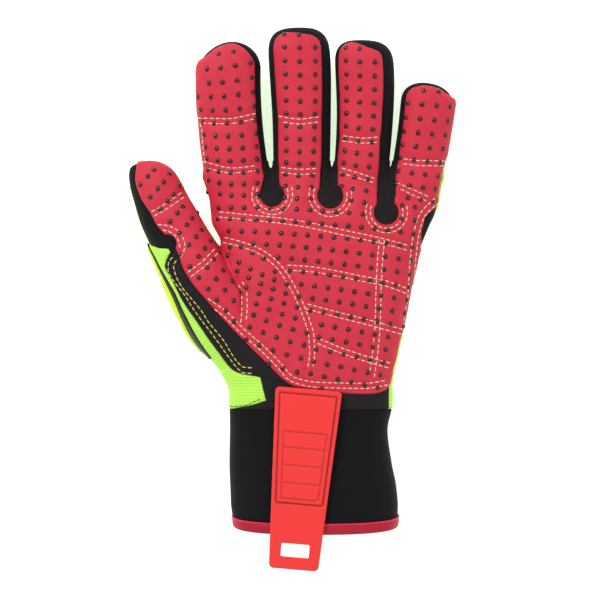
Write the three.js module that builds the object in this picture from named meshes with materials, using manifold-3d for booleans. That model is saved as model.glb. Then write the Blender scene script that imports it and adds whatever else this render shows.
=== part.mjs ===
// An impact glove for the left hand, lying on its back with the palm up.
// +X points to the little finger, +Y to the fingertips and +Z out of the palm. Lengths are in millimetres.
// A hollow fabric hand carries five finger sleeves and a neoprene cuff. Layers are sewn over it: a gripping
// palm, a bright back, a side panel at the thumb, and moulded rubber guards on the back.
import * as THREE from "three";
import { mergeVertices } from "three/addons/utils/BufferGeometryUtils.js";
import Module from "manifold-3d";

const wasm = await Module();
wasm.setup();

// Lengths along the glove
const CUFF_LENGTH = 63.5; // hem to wrist seam, along the palm side
const HAND_LENGTH = 125; // wrist seam to finger crotches
const HEM_SLANT = 5; // the back of the cuff is this much shorter

// Widths and depths
const CUFF_WIDTH = 90;
const CUFF_DEPTH = 45;
const WRIST_WIDTH = 87;
const WRIST_DEPTH = 40;
const PALM_DEPTH = 36;
const PALM_HOLLOW = 3.5; // how far the middle of the palm is pressed in
const FINGER_GAP = 1.6; // between neighbouring fingers at their crotches
const FINGER_STEP = 0.6; // the fingers' backs lie this far in from the back of the hand
const ROW_SHIFT = 8.4; // the finger row's middle, towards the little finger from the wrist's middle

// Walls and layers
const SHELL_WALL = 2;
const CUFF_WALL = 3;
const PALM_LAYER = 1.2;
const BACK_LAYER = 1;
const CLEARANCE = 0.3; // between any two pieces

// Hem binding
const BINDING_WALL = 1.2;
const BINDING_HEIGHT = 5;

// Moulded guards
const GUARD_WEB = 1.4; // the thin web that joins the raised pads
const FINGER_PAD = 3.6; // a pad's height on a finger, web included
const KNUCKLE_PAD = 6.8;
const PAD_FLAT = 0.6; // cut off the knuckle pads to stand on
const THUMB_PAD = 3.2;
const WEB_MARGIN = 0.03; // of the web past the first and last pads, as a share of the limb's length
const WEB_HALF = 0.62; // of a finger's half width
const WEB_DROP = 6; // the knuckle web ends this far below the middle of the palm's depth
const THUMB_WEB = { inset: 0.72, low: -12, high: 2 }; // inset is a share of the half width
const THUMB_ROW = { inset: 0.8, low: -10, high: 0 };

// Keyholes between the fingers' palm sides
const KEYHOLE_RADIUS = 6.6;
const KEYHOLE_DROP = 10; // its middle below the crotches
const KEYHOLE_NECK = 8;

// Relief at the thumb's outer side
const RELIEF_RADIUS = 5;
const RELIEF_ALONG = 71; // from the root of the thumb
const RELIEF_ACROSS = 13; // out from the thumb's middle line
const BAND_MARGIN = 2.4; // bright cloth that shows beside the wrist band

// Seams and ends of the layers
const SLEEVE_SEAM = 3; // from a finger's crotch, towards its tip
const THUMB_SEAM = 76; // from the thumb's root
const LAYER_START = -0.22; // where a finger's layers start inside the palm, as a share of its length
const THUMB_FRONT_START = 0.5; // where the palm layer on the thumb follows the thumb alone
const BACK_END = 0.97; // where the back layer ends on a finger
const BACK_HALF = 0.92; // its half width there, as a share of the finger's
const BACK_DROP = 2; // the back's layers on a finger stay this far below its middle line
const BACK_STEP = 4; // the back of the palm ends this far before the crotches
const HEM_JOIN = 2; // points of the palm's hem that belong to the piece at the thumb's root

// Pull tab
const TAB_LENGTH = 94.5;
const TAB_TOP_WIDTH = 35.4;
const TAB_END_WIDTH = 26.2;
const TAB_CORNER = 2.4;
const TAB_PLATE = 2.4;
const TAB_RELIEF = 0.7; // of the raised panel
const TAB_BORDER = 3; // plain margin round the raised panel
const TAB_PANEL_LENGTH = 60;
const TAB_LADDER_LENGTH = 36;
const TAB_LADDER_MARGIN = 3.2;
const TAB_RUNG = 1.2;
const TAB_CELLS = 4;
const TAB_CELL_CORNER = 0.6;
const TAB_SEAT = 10.2; // how far the tab reaches over the wrist seam, at its middle
const TAB_TURN = THREE.MathUtils.degToRad(-4.9);
const TAB_SIDEWAYS = -0.8; // the tab's top from the wrist's middle
const SLOT_WIDTH = 15;
const SLOT_HEIGHT = 7.2;
const SLOT_MARGIN = 6.4; // below the slot

// The knuckle pads are cut flat where they stand, and the hand lies this high above the floor.
const LIFT = KNUCKLE_PAD - PAD_FLAT + BACK_LAYER + 2 * CLEARANCE;

// The fingers from the thumb's side on. width is at the crotch and tipWidth at the fattest place near the
// tip, lean is in degrees towards the little finger, bow is how far the middle stands out to that side, and
// rise is how far the tip curls up. left, right and tip are the margins of the palm layer on the finger.
const FINGERS = [
  { name: "index", length: 73.4, width: 34.3, tipWidth: 34, depth: 24.5, lean: -3.2, bow: -2.4, rise: 6,
    left: 0.2, right: 3.6, tip: 1.6 },
  { name: "middle", length: 80.7, width: 30.8, tipWidth: 33.6, depth: 24.5, lean: -1.4, bow: 1, rise: 6,
    left: 3.6, right: 5.4, tip: 2 },
  { name: "ring", length: 74, width: 29.7, tipWidth: 32, depth: 24, lean: 1.2, bow: 2.1, rise: 6,
    left: 2.4, right: 6.8, tip: 2 },
  { name: "little", length: 51.8, width: 29.2, tipWidth: 29.2, depth: 22, lean: 7, bow: 0.9, rise: 4.5,
    left: 2.9, right: 0.3, tip: 2.4 },
];
const THUMB = { name: "thumb", length: 117.6, width: 34.5, depth: 35, lean: -28.3, bow: -6, rise: 7,
  right: -1, tip: 1.6 };
const THUMB_ROOT = { across: -0.503, along: 0.234 }; // of the half finger row and of the hand's length

// Sections of the cuff, from the hem to the wrist seam. width and depth run from the wrist's size to the
// hem's, shift is a share of the finger row's shift and low of the lift.
const CUFF_SECTIONS = [
  { along: 0, width: 0.8, depth: 1, shift: 0.36, low: 0.2 },
  { along: 0.16, width: 1, depth: 1, shift: 0.33, low: 0.2 },
  { along: 0.33, width: 0.82, depth: 0.95, shift: 0.25, low: 0.22 },
  { along: 0.52, width: 0.22, depth: 0.62, shift: 0.08, low: 0.35 },
  { along: 0.82, width: -0.5, depth: 0.12, shift: -0.06, low: 0.55 },
  { along: 1, width: 0, depth: 0, shift: 0.05, low: 0.625 },
];
// Sections of the hand, from the wrist seam to the crotches. width runs from the wrist's width to the finger
// row's, wrist is how much of the wrist's depth is left, low and high are shares of the palm's depth, shift
// is a share of the finger row's shift and hollow of the palm's hollow.
const HAND_SECTIONS = [
  { along: 0, width: 0, wrist: 1, low: 0, high: 1, shift: 0.05, hollow: 0 },
  { along: 0.09, width: -0.01, wrist: 0.85, low: 0, high: 1, shift: 0.06, hollow: 0.1 },
  { along: 0.24, width: 0.22, wrist: 0.4, low: 0, high: 1.01, shift: -0.1, hollow: 0.5 },
  { along: 0.44, width: 0.38, wrist: 0, low: 0, high: 1, shift: 0.12, hollow: 1 },
  { along: 0.64, width: 0.47, wrist: 0, low: 0, high: 0.95, shift: 0.52, hollow: 0.8 },
  { along: 0.8, width: 0.69, wrist: 0, low: 0, high: 0.88, shift: 0.85, hollow: 0.3 },
  { along: 0.92, width: 0.88, wrist: 0, low: 0.04, high: 0.77, shift: 1, hollow: 0 },
  { along: 1, width: 0.96, wrist: 0, low: 0.24, high: 0.54, shift: 1, hollow: 0 },
];
// Sections of a finger, from inside the palm to the tip. width runs from the crotch's width to the tip's,
// depth is a share of the finger's depth, and round scales the whole section where the tip closes.
const FINGER_SECTIONS = [
  { along: -0.3, width: -0.1, depth: 0.88, round: 1 },
  { along: 0.04, width: 0, depth: 1, round: 1 },
  { along: 0.42, width: 0.4, depth: 0.98, round: 1 },
  { along: 0.78, width: 1, depth: 0.95, round: 1 },
  { along: 0.895, width: 1, depth: 0.92, round: 0.88 },
  { along: 0.965, width: 1, depth: 0.88, round: 0.63 },
  { along: 1, width: 1, depth: 0.84, round: 0.28 },
];
// Sections of the thumb, from inside the heel of the hand to the tip, as shares of its width and depth.
// inset is the palm layer's margin at the outer side, as a share of the half width.
const THUMB_SECTIONS = [
  { along: 0, share: 1.08, depth: 0.94, round: 1, inset: 0.9 },
  { along: 0.22, share: 1.18, depth: 1, round: 1, inset: 0.9 },
  { along: 0.42, share: 1.12, depth: 0.99, round: 1, inset: 0.9 },
  { along: 0.6, share: 0.98, depth: 0.87, round: 1, inset: 0.8 },
  { along: 0.75, share: 0.87, depth: 0.76, round: 1, inset: 0.5 },
  { along: 0.89, share: 0.77, depth: 0.68, round: 0.98, inset: 0.28 },
  { along: 0.965, share: 0.72, depth: 0.62, round: 0.76, inset: 0.2 },
  { along: 1, share: 0.7, depth: 0.57, round: 0.3, inset: 0.2 },
];

// Edges of the sewn layers. along is a share of the hand's length and across of the half finger row, both
// from the middle of the wrist seam.
const CREASE = [
  { across: -0.8, along: 0.73 },
  { across: -0.587, along: 0.717 },
  { across: -0.328, along: 0.661 },
  { across: -0.175, along: 0.553 },
  { across: -0.076, along: 0.45 },
  { across: 0.022, along: 0.3 },
  { across: 0.008, along: 0.19 },
  { across: -0.03, along: 0.05 },
];
const PALM_LEFT = [0.95, 0.85, 0.75]; // shares of the hand's length at the index finger's side
const PALM_RIGHT = [
  { along: 0.35, inset: 0.006 },
  { along: 0.66, inset: 0.006 },
  { along: 0.74, inset: 0.045 },
  { along: 0.85, inset: 0.05 },
  { along: 0.93, inset: 0.006 },
];
const PALM_HEM = [
  { across: 0.679, along: 0.121 },
  { across: 0.612, along: 0.082 },
  { across: 0.478, along: 0.067 },
  { across: 0.256, along: 0.074 },
  { across: -0.01, along: 0.09 },
  { across: -0.134, along: 0.1 },
];
const THENAR_EDGE = [
  { across: -0.134, along: 0.1 },
  { across: -0.217, along: 0.128 },
  { across: -0.37, along: 0.205 },
  { across: -0.553, along: 0.298 },
  { across: -0.863, along: 0.471 },
  { across: -1.03, along: 0.585 },
  { across: -1.12, along: 0.7 },
];
const SIDE_EDGE = [
  { across: -1.2, along: 0.7 },
  { across: -1.216, along: 0.618 },
  { across: -1.174, along: 0.57 },
  { across: -1.056, along: 0.471 },
  { across: -0.922, along: 0.367 },
  { across: -0.78, along: 0.263 },
  { across: -0.612, along: 0.165 },
  { across: -0.411, along: 0.142 },
];
const BAND_LEFT = { across: -0.36, along: 0 };

// Keyholes, one at each crotch. drop is a share of the usual drop, radius and shift of the usual radius.
const KEYHOLES = [
  { drop: 0.97, radius: 0.98, shift: 0.1 },
  { drop: 1.03, radius: 1.05, shift: -0.1 },
  { drop: 1.92, radius: 1, shift: -0.3 },
];
// Pads on a finger's back, and the pads that lead from the wrist to each knuckle, in shares of the finger's
// length. half is the pad's half width as a share of the finger's.
const FINGER_PADS = [
  { from: 0.14, to: 0.4, half: 0.52 },
  { from: 0.46, to: 0.64, half: 0.5 },
  { from: 0.7, to: 0.88, half: 0.44 },
];
const KNUCKLE_PADS = [
  { from: -0.36, to: -0.06, half: 0.72, height: 1 },
  { from: -0.8, to: -0.43, half: 0.36, height: 0.62 },
];
// Corners of the web over the knuckles. across is from the finger's middle, and along a share of the hand.
const KNUCKLE_WEB = [
  { finger: 0, across: -13, along: 0.95 },
  { finger: 0, across: -7, along: 0.44 },
  { finger: 3, across: -12, along: 0.56 },
  { finger: 3, across: 10, along: 0.95 },
];
const THUMB_PADS = [
  { from: 0.12, to: 0.3 },
  { from: 0.33, to: 0.47 },
  { from: 0.5, to: 0.64 },
];

// How finely the round sections are divided
const HAND_SIDES = 18;
const FINGER_SIDES = 10;
const HAND_SQUARENESS = 2.5; // 2 is an ellipse, and more is squarer
const FINGER_SQUARENESS = 2.25;
const FAR = 200; // longer than any cut needs

const lerp = THREE.MathUtils.lerp;
const radians = THREE.MathUtils.degToRad;
const rowWidth = FINGERS.reduce((sum, finger) => sum + finger.width, 0) + (FINGERS.length - 1) * FINGER_GAP;
const halfRow = rowWidth / 2;

// Solids

const solidFromMesh = (positions, triangles) => {
  const mesh = new wasm.Mesh({
    numProp: 3,
    vertProperties: new Float32Array(positions),
    triVerts: new Uint32Array(triangles),
  });
  return new wasm.Manifold(mesh);
};

const solidFromGeometry = (geometry) => {
  geometry.deleteAttribute("normal");
  geometry.deleteAttribute("uv");
  const merged = mergeVertices(geometry, 1e-4);
  return solidFromMesh(merged.attributes.position.array, merged.index.array);
};

const joinAll = (solids) => solids.reduce((sum, solid) => sum.add(solid));

// Skins a row of rings, which run anticlockwise seen from the side that the loft starts on.
const loft = (rings) => {
  const count = rings[0].length;
  const positions = [];
  const triangles = [];
  const middle = (ring) => ring.reduce((sum, point) => sum.add(point), new THREE.Vector3()).divideScalar(count);
  rings.forEach((ring) => ring.forEach((point) => positions.push(point.x, point.y, point.z)));
  const ends = [rings[0], rings[rings.length - 1]];
  ends.forEach((ring) => positions.push(...middle(ring).toArray()));
  const startPoint = rings.length * count;
  for (let j = 0; j < count; j += 1) {
    const next = (j + 1) % count;
    for (let i = 0; i < rings.length - 1; i += 1) {
      const here = i * count;
      const there = here + count;
      triangles.push(here + j, there + j, there + next);
      triangles.push(here + j, there + next, here + next);
    }
    const last = (rings.length - 1) * count;
    triangles.push(startPoint, j, next);
    triangles.push(startPoint + 1, last + next, last + j);
  }
  return solidFromMesh(positions, triangles);
};

// Fills an outline, given in the plane of the glove, between two heights.
const prism = (points, low, high, holes = []) => {
  const shape = new THREE.Shape(points);
  shape.holes = holes;
  const geometry = new THREE.ExtrudeGeometry(shape, { depth: high - low, bevelEnabled: false });
  geometry.translate(0, 0, low);
  return solidFromGeometry(geometry);
};

const disc = (centre, radius, low, high) => {
  const geometry = new THREE.CylinderGeometry(radius, radius, high - low, 12);
  geometry.rotateX(Math.PI / 2);
  geometry.translate(centre.x, centre.y, (low + high) / 2);
  return solidFromGeometry(geometry);
};

// A point of a superellipse at an angle, for half sizes of one.
const roundedPoint = (angle, squareness) => {
  const power = 2 / squareness;
  const c = Math.cos(angle);
  const s = Math.sin(angle);
  return { c: Math.sign(c) * Math.abs(c) ** power, s: Math.sign(s) * Math.abs(s) ** power };
};

// Tables

const rowAt = (rows, along) => {
  const after = THREE.MathUtils.clamp(rows.findIndex((row) => row.along >= along), 1, rows.length - 1);
  const end = along > rows[rows.length - 1].along ? rows.length - 1 : after;
  const [a, b] = [rows[end - 1], rows[end]];
  const share = (along - a.along) / (b.along - a.along);
  const row = {};
  Object.keys(a).forEach((key) => {
    row[key] = lerp(a[key], b[key], share);
  });
  return row;
};

const rowsBetween = (rows, from, to) => {
  const inner = rows.filter((row) => row.along > from + 0.005 && row.along < to - 0.005);
  return [rowAt(rows, from), ...inner, rowAt(rows, to)];
};

// The hand and the cuff

const handSection = (row) => {
  const wristLow = LIFT * CUFF_SECTIONS[CUFF_SECTIONS.length - 1].low;
  return {
    x: ROW_SHIFT * row.shift,
    half: lerp(WRIST_WIDTH, rowWidth, row.width) / 2,
    low: lerp(LIFT + PALM_DEPTH * row.low, wristLow, row.wrist),
    high: lerp(LIFT + PALM_DEPTH * row.high, wristLow + WRIST_DEPTH, row.wrist),
    hollow: PALM_HOLLOW * row.hollow,
  };
};

const cuffSection = (row) => {
  const low = LIFT * row.low;
  return {
    x: ROW_SHIFT * row.shift,
    half: lerp(WRIST_WIDTH, CUFF_WIDTH, row.width) / 2,
    low,
    high: low + lerp(WRIST_DEPTH, CUFF_DEPTH, row.depth),
    hollow: 0,
    slant: HEM_SLANT * (1 - row.along),
  };
};

const handRing = (section, y, grow) => {
  const ring = [];
  const halfHeight = (section.high - section.low) / 2;
  for (let i = 0; i < HAND_SIDES; i += 1) {
    const { c, s } = roundedPoint((2 * Math.PI * i) / HAND_SIDES, HAND_SQUARENESS);
    const dent = s > 0 ? section.hollow * (1 - c * c) ** 2 : 0;
    const z = section.low + halfHeight + s * (halfHeight + grow) - dent;
    const back = (section.slant ?? 0) * (1 - (z - section.low) / (2 * halfHeight));
    ring.push(new THREE.Vector3(section.x + c * (section.half + grow), y + back, z));
  }
  return ring;
};

// The palm of the hand without its fingers. early lengthens it past the wrist seam.
const handSolid = (grow, early = 0) => {
  const rings = HAND_SECTIONS.map((row) => {
    const end = row.along === 1 ? grow : 0;
    return handRing(handSection(row), row.along * HAND_LENGTH + end, grow);
  });
  if (early > 0) {
    rings.unshift(handRing(handSection(HAND_SECTIONS[0]), -early, grow));
  }
  return loft(rings);
};

// A length of the cuff's form, between two distances from the hem.
const cuffSolid = (grow, from, to) => {
  const rows = rowsBetween(CUFF_SECTIONS, from / CUFF_LENGTH, to / CUFF_LENGTH);
  return loft(rows.map((row) => handRing(cuffSection(row), (row.along - 1) * CUFF_LENGTH, grow)));
};

const handEdge = (along, side) => {
  const section = handSection(rowAt(HAND_SECTIONS, along));
  return section.x + side * section.half;
};

// Limbs: the fingers and the thumb

const placeFingers = () => {
  let edge = ROW_SHIFT - halfRow;
  return FINGERS.map((finger) => {
    const base = new THREE.Vector2(edge + finger.width / 2, HAND_LENGTH);
    edge += finger.width + FINGER_GAP;
    return { ...finger, base, rows: FINGER_SECTIONS };
  });
};
const fingers = placeFingers();
const thumb = {
  ...THUMB,
  base: new THREE.Vector2(THUMB_ROOT.across * halfRow, THUMB_ROOT.along * HAND_LENGTH),
  rows: THUMB_SECTIONS,
};
const limbs = [...fingers, thumb];

const limbSection = (limb, row) => {
  const lean = radians(limb.lean);
  const reach = THREE.MathUtils.clamp(row.along, 0, 1);
  const bow = limb.bow * 4 * reach * (1 - reach);
  const side = new THREE.Vector3(Math.cos(lean), -Math.sin(lean), 0);
  const axis = new THREE.Vector3(Math.sin(lean), Math.cos(lean), 0);
  const width = row.share ? limb.width * row.share : lerp(limb.width, limb.tipWidth, row.width);
  const halfDepth = (limb.depth * row.depth) / 2;
  const centre = new THREE.Vector3(limb.base.x, limb.base.y, LIFT + FINGER_STEP + halfDepth);
  centre.addScaledVector(axis, row.along * limb.length).addScaledVector(side, bow);
  centre.z += limb.rise * reach * reach;
  return { centre, side, axis, half: (width / 2) * row.round, halfDepth: halfDepth * row.round };
};

// Its ends grow too, apart from a start at a seam.
const limbSolid = (limb, grow, from = limb.rows[0].along) => {
  const rings = rowsBetween(limb.rows, from, 1).map((row) => {
    const { centre, side, axis, half, halfDepth } = limbSection(limb, row);
    const atRoot = row.along === limb.rows[0].along;
    const onward = atRoot ? -grow : grow * Math.sqrt(Math.max(0, 1 - row.round ** 2));
    const start = centre.clone().addScaledVector(axis, onward);
    const outward = grow * row.round;
    const ring = [];
    for (let i = 0; i < FINGER_SIDES; i += 1) {
      const { c, s } = roundedPoint((2 * Math.PI * i) / FINGER_SIDES, FINGER_SQUARENESS);
      const point = start.clone().addScaledVector(side, c * (half + outward));
      point.z += s * (halfDepth + outward);
      ring.push(point);
    }
    return ring;
  });
  return loft(rings);
};

// A box that follows a limb between two shares of its length. left and right give its sides, and low and
// high its bottom and top, from the limb's centre line.
const limbZone = (limb, from, to, left, right, low, high) => {
  const rings = rowsBetween(limb.rows, from, to).map((row) => {
    const section = limbSection(limb, row);
    const corners = [[left, low], [right, low], [right, high], [left, high]];
    return corners.map(([across, up]) => {
      const point = section.centre.clone().addScaledVector(section.side, across(section, row));
      point.z += up;
      return point;
    });
  });
  return loft(rings);
};

const gloveSolid = (grow, early = 0) =>
  joinAll([handSolid(grow, early), ...limbs.map((limb) => limbSolid(limb, grow))]);

// Shell: a hollow hand with five sleeves, cut apart at a seam just past the crotches. The cutting forms are a
// little larger than the limb, and smaller than the gap to the next one.

const shell = gloveSolid(0).subtract(gloveSolid(-SHELL_WALL, CLEARANCE + SHELL_WALL));
const seamOf = (limb) => (limb === thumb ? THUMB_SEAM : SLEEVE_SEAM) / limb.length;
const sleeveOf = (limb) => {
  const gap = CLEARANCE / 2 / limb.length;
  return shell.intersect(limbSolid(limb, FINGER_GAP / 4, seamOf(limb) + gap));
};
const handShell = limbs.reduce((rest, limb) => {
  const gap = CLEARANCE / 2 / limb.length;
  return rest.subtract(limbSolid(limb, FINGER_GAP / 3, seamOf(limb) - gap));
}, shell);

// Cuff and its hem binding

const cuffInside = -CUFF_WALL;
const cuff = cuffSolid(0, 0, CUFF_LENGTH - CLEARANCE).subtract(cuffSolid(cuffInside, -1, CUFF_LENGTH + 1));
const bindingOut = CLEARANCE + BINDING_WALL;
const hemBinding = cuffSolid(bindingOut, -bindingOut, BINDING_HEIGHT)
  .subtract(cuffSolid(CLEARANCE, -CLEARANCE, BINDING_HEIGHT + 1)
    .subtract(cuffSolid(cuffInside - CLEARANCE, -CLEARANCE - 1, BINDING_HEIGHT + 2)))
  .subtract(cuffSolid(cuffInside - bindingOut, -bindingOut - 1, BINDING_HEIGHT + 1));

// Sewn layers

const toPlane = (point) => new THREE.Vector2(point.across * halfRow, point.along * HAND_LENGTH);
const smooth = (points, steps) => new THREE.SplineCurve(points.map(toPlane)).getPoints(steps);
const toVectors = (pairs) => pairs.map(([x, y]) => new THREE.Vector2(x, y));
const box = (left, from, right, to) => toVectors([[left, from], [right, from], [right, to], [left, to]]);
const share = (factor) => (section) => section.half * factor;

// Moves each point of a closed outline outwards.
const growOutline = (outline, distance) => {
  const turn = Math.sign(THREE.ShapeUtils.area(outline));
  return outline.map((point, i) => {
    const before = outline[(i + outline.length - 1) % outline.length];
    const after = outline[(i + 1) % outline.length];
    const normal = new THREE.Vector2(after.y - before.y, before.x - after.x).normalize();
    return point.clone().addScaledVector(normal, distance * turn);
  });
};

const middleHeight = LIFT + PALM_DEPTH / 2;
const backTop = LIFT + FINGERS[3].depth / 2; // the back's edge, below the palm layer's edge on every finger
const palmSkin = gloveSolid(CLEARANCE + PALM_LAYER).subtract(gloveSolid(CLEARANCE, 1));
const backSkin = gloveSolid(CLEARANCE + BACK_LAYER).subtract(gloveSolid(CLEARANCE, 1));

const crease = smooth(CREASE, 12);
const palmHem = smooth(PALM_HEM, 8);
const thenarEdge = smooth(THENAR_EDGE, 8);
const sideEdge = smooth(SIDE_EDGE, 10);

const thenarOutline = [...crease.slice(1, -2), ...palmHem.slice(-HEM_JOIN), ...thenarEdge.slice(1)];
const palmOutline = [
  ...PALM_LEFT.map((along) => (
    new THREE.Vector2(handEdge(along, -1) - PALM_LAYER, along * HAND_LENGTH))),
  ...crease.slice(1, -2).map((point) => new THREE.Vector2(point.x - 2 * PALM_LAYER, point.y - PALM_LAYER)),
  ...palmHem.slice(0, 1 - HEM_JOIN).reverse(),
  ...PALM_RIGHT.map((row) => (
    new THREE.Vector2(handEdge(row.along, 1) - row.inset * halfRow, row.along * HAND_LENGTH))),
];
const sideOutline = [...sideEdge, ...thenarEdge.slice(2).map((point) => point.clone().addScalar(PALM_LAYER))];
const bandLeft = BAND_LEFT.across * halfRow;
const bandOutline = [
  new THREE.Vector2(bandLeft, CLEARANCE),
  new THREE.Vector2(handEdge(0, 1) - BAND_MARGIN, CLEARANCE),
  palmHem[0].clone(),
  new THREE.Vector2(0, palmHem[0].y),
  sideEdge[sideEdge.length - 1].clone(),
];
// The bright back wraps round the thumb's side and a little round the other side.
const backOutline = [
  ...sideEdge,
  new THREE.Vector2(bandLeft, CLEARANCE),
  new THREE.Vector2(-FAR / 2, CLEARANCE),
  new THREE.Vector2(-FAR / 2, sideEdge[0].y),
];

const above = (outline, from = middleHeight) => prism(outline, from, FAR);
const without = (solid, outlines) => outlines.reduce((rest, outline) => (
  rest.subtract(above(growOutline(outline, CLEARANCE), middleHeight - CLEARANCE))), solid);

const keyholeCuts = KEYHOLES.map((keyhole, i) => {
  const crotch = fingers[i].base.x + fingers[i].width / 2 + FINGER_GAP / 2;
  const x = crotch + keyhole.shift * KEYHOLE_RADIUS;
  const y = HAND_LENGTH - keyhole.drop * KEYHOLE_DROP;
  const top = HAND_LENGTH + 2 * SLEEVE_SEAM;
  const half = KEYHOLE_NECK / 2;
  const neck = [[x - half, y], [x + half, y], [crotch + half, top], [crotch - half, top]];
  return disc({ x, y }, keyhole.radius * KEYHOLE_RADIUS, backTop, FAR).add(above(toVectors(neck), backTop));
});

const fingerFronts = fingers.map((finger) => limbZone(finger, LAYER_START, 1 - finger.tip / finger.length,
  (section) => -section.half + finger.left, (section) => section.half - finger.right, 0, FAR));
const palmZone = joinAll([above(palmOutline), ...fingerFronts]);
const palmPanel = keyholeCuts.reduce((rest, cut) => rest.subtract(cut),
  without(palmSkin.intersect(palmZone), [thenarOutline]));

// The relief is a round gap in the thumb's layer, where its outer side meets the crotch's height.
const thumbAxis = new THREE.Vector2(Math.sin(radians(thumb.lean)), Math.cos(radians(thumb.lean)));
const relief = thumb.base.clone().addScaledVector(thumbAxis, RELIEF_ALONG)
  .add(new THREE.Vector2(-RELIEF_ACROSS * thumbAxis.y, RELIEF_ACROSS * thumbAxis.x));
const thumbFront = limbZone(thumb, THUMB_FRONT_START, 1 - thumb.tip / thumb.length,
  (section, row) => -section.half * (1 - row.inset), (section) => section.half - thumb.right, 0, FAR);
const thumbPanel = palmSkin.intersect(above(thenarOutline).add(thumbFront))
  .subtract(disc(relief, RELIEF_RADIUS, 0, FAR));

const sidePanel = without(palmSkin.intersect(above(sideOutline)), [thenarOutline])
  .subtract(limbZone(thumb, THUMB_FRONT_START, 1,
    (section, row) => -section.half * (1 - row.inset) - CLEARANCE, () => FAR, -FAR, FAR));
const wristBand = without(palmSkin.intersect(above(bandOutline)), [thenarOutline, palmOutline]);

const thumbTop = limbZone(thumb, thumb.rows[0].along, 1, () => -FAR, () => FAR, 0, FAR);
const backZone = joinAll([
  prism(box(-FAR, CLEARANCE, FAR, HAND_LENGTH - BACK_STEP), -FAR, backTop),
  prism(backOutline, backTop - 1, FAR),
  ...fingers.map((finger) => limbZone(finger, LAYER_START, BACK_END,
    share(-BACK_HALF), share(BACK_HALF), -FAR, -BACK_DROP)),
]);
const backPanel = without(
  backSkin.intersect(backZone).subtract(thumbTop.subtract(prism(backOutline, 0, FAR))),
  [sideOutline, bandOutline],
);

// Guards: pads on a thin web, moulded to the form under them

const guardStart = 2 * CLEARANCE + BACK_LAYER;
const guardUnder = gloveSolid(guardStart);
const guardSkin = (height) => gloveSolid(guardStart + height).subtract(guardUnder);
const padZone = (limb, pad) => limbZone(limb, pad.from, pad.to,
  share(-pad.half), share(pad.half), -FAR, -BACK_DROP);

const webSkin = guardSkin(GUARD_WEB);
const fingerPadSkin = guardSkin(FINGER_PAD);
const fingerGuards = fingers.map((finger) => {
  const web = limbZone(finger, FINGER_PADS[0].from - WEB_MARGIN, FINGER_PADS[2].to + WEB_MARGIN,
    share(-WEB_HALF), share(WEB_HALF), -FAR, -BACK_DROP);
  const pads = joinAll(FINGER_PADS.map((pad) => padZone(finger, pad)));
  return webSkin.intersect(web).add(fingerPadSkin.intersect(pads));
});

const knuckleWeb = prism(KNUCKLE_WEB.map((corner) => (
  new THREE.Vector2(fingers[corner.finger].base.x + corner.across, corner.along * HAND_LENGTH))),
-FAR, middleHeight - WEB_DROP);
const underFloor = prism(box(-FAR, -FAR, FAR, FAR), -FAR, 0);
const knuckleGuard = joinAll([
  webSkin.intersect(knuckleWeb),
  ...KNUCKLE_PADS.map((pad) => guardSkin(KNUCKLE_PAD * pad.height)
    .intersect(joinAll(fingers.map((finger) => padZone(finger, pad))))),
]).subtract(underFloor);

const thumbStrip = (from, to, { inset, low, high }) => (
  limbZone(thumb, from, to, () => -FAR / 2, share(-inset), low, high));
const thumbGuard = joinAll([
  webSkin.intersect(thumbStrip(THUMB_PADS[0].from - WEB_MARGIN, THUMB_PADS[2].to + WEB_MARGIN, THUMB_WEB)),
  guardSkin(THUMB_PAD).intersect(joinAll(THUMB_PADS.map((pad) => thumbStrip(pad.from, pad.to, THUMB_ROW)))),
]);

// Pull tab, drawn flat with its top edge on the X axis and hanging towards -Y

const tabHalfAt = (down) => lerp(TAB_TOP_WIDTH, TAB_END_WIDTH, down / TAB_LENGTH) / 2;
const tabPiece = (top, bottom, margin, low, high, corner = 0, slot = false) => {
  const topHalf = tabHalfAt(top) - margin;
  const bottomHalf = tabHalfAt(bottom) - margin;
  const shape = new THREE.Shape();
  shape.moveTo(-topHalf + corner, -top);
  shape.lineTo(topHalf - corner, -top);
  shape.quadraticCurveTo(topHalf, -top, topHalf, -top - corner);
  shape.lineTo(bottomHalf, -bottom + corner);
  shape.quadraticCurveTo(bottomHalf, -bottom, bottomHalf - corner, -bottom);
  shape.lineTo(-bottomHalf + corner, -bottom);
  shape.quadraticCurveTo(-bottomHalf, -bottom, -bottomHalf, -bottom + corner);
  shape.lineTo(-topHalf, -top - corner);
  shape.quadraticCurveTo(-topHalf, -top, -topHalf + corner, -top);
  if (slot) {
    const slotLow = -TAB_LENGTH + SLOT_MARGIN;
    const corners = [[-1, 0], [1, 0], [1, 1], [-1, 1]];
    shape.holes.push(new THREE.Path(corners.map(([x, y]) => (
      new THREE.Vector2((x * SLOT_WIDTH) / 2, slotLow + y * SLOT_HEIGHT)))));
  }
  const depth = high - low;
  const geometry = new THREE.ExtrudeGeometry(shape, { depth, bevelEnabled: false, curveSegments: 2 });
  geometry.translate(0, 0, low);
  return solidFromGeometry(geometry);
};
const pullTab = () => {
  const panelEnd = TAB_BORDER + TAB_PANEL_LENGTH;
  const ladderEnd = panelEnd - TAB_LADDER_MARGIN;
  const ladderStart = ladderEnd - TAB_LADDER_LENGTH;
  const step = TAB_LADDER_LENGTH / TAB_CELLS;
  const top = TAB_PLATE + TAB_RELIEF;
  let tab = tabPiece(0, TAB_LENGTH, 0, 0, TAB_PLATE, TAB_CORNER, true)
    .add(tabPiece(TAB_BORDER, panelEnd, TAB_BORDER, TAB_PLATE / 2, top, TAB_CELL_CORNER));
  for (let i = 0; i < TAB_CELLS; i += 1) {
    const from = ladderStart + i * step;
    tab = tab.subtract(tabPiece(from + TAB_RUNG / 2, from + step - TAB_RUNG / 2,
      TAB_BORDER + TAB_LADDER_MARGIN, TAB_PLATE, top + 1, TAB_CELL_CORNER));
  }
  return tab;
};

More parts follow.
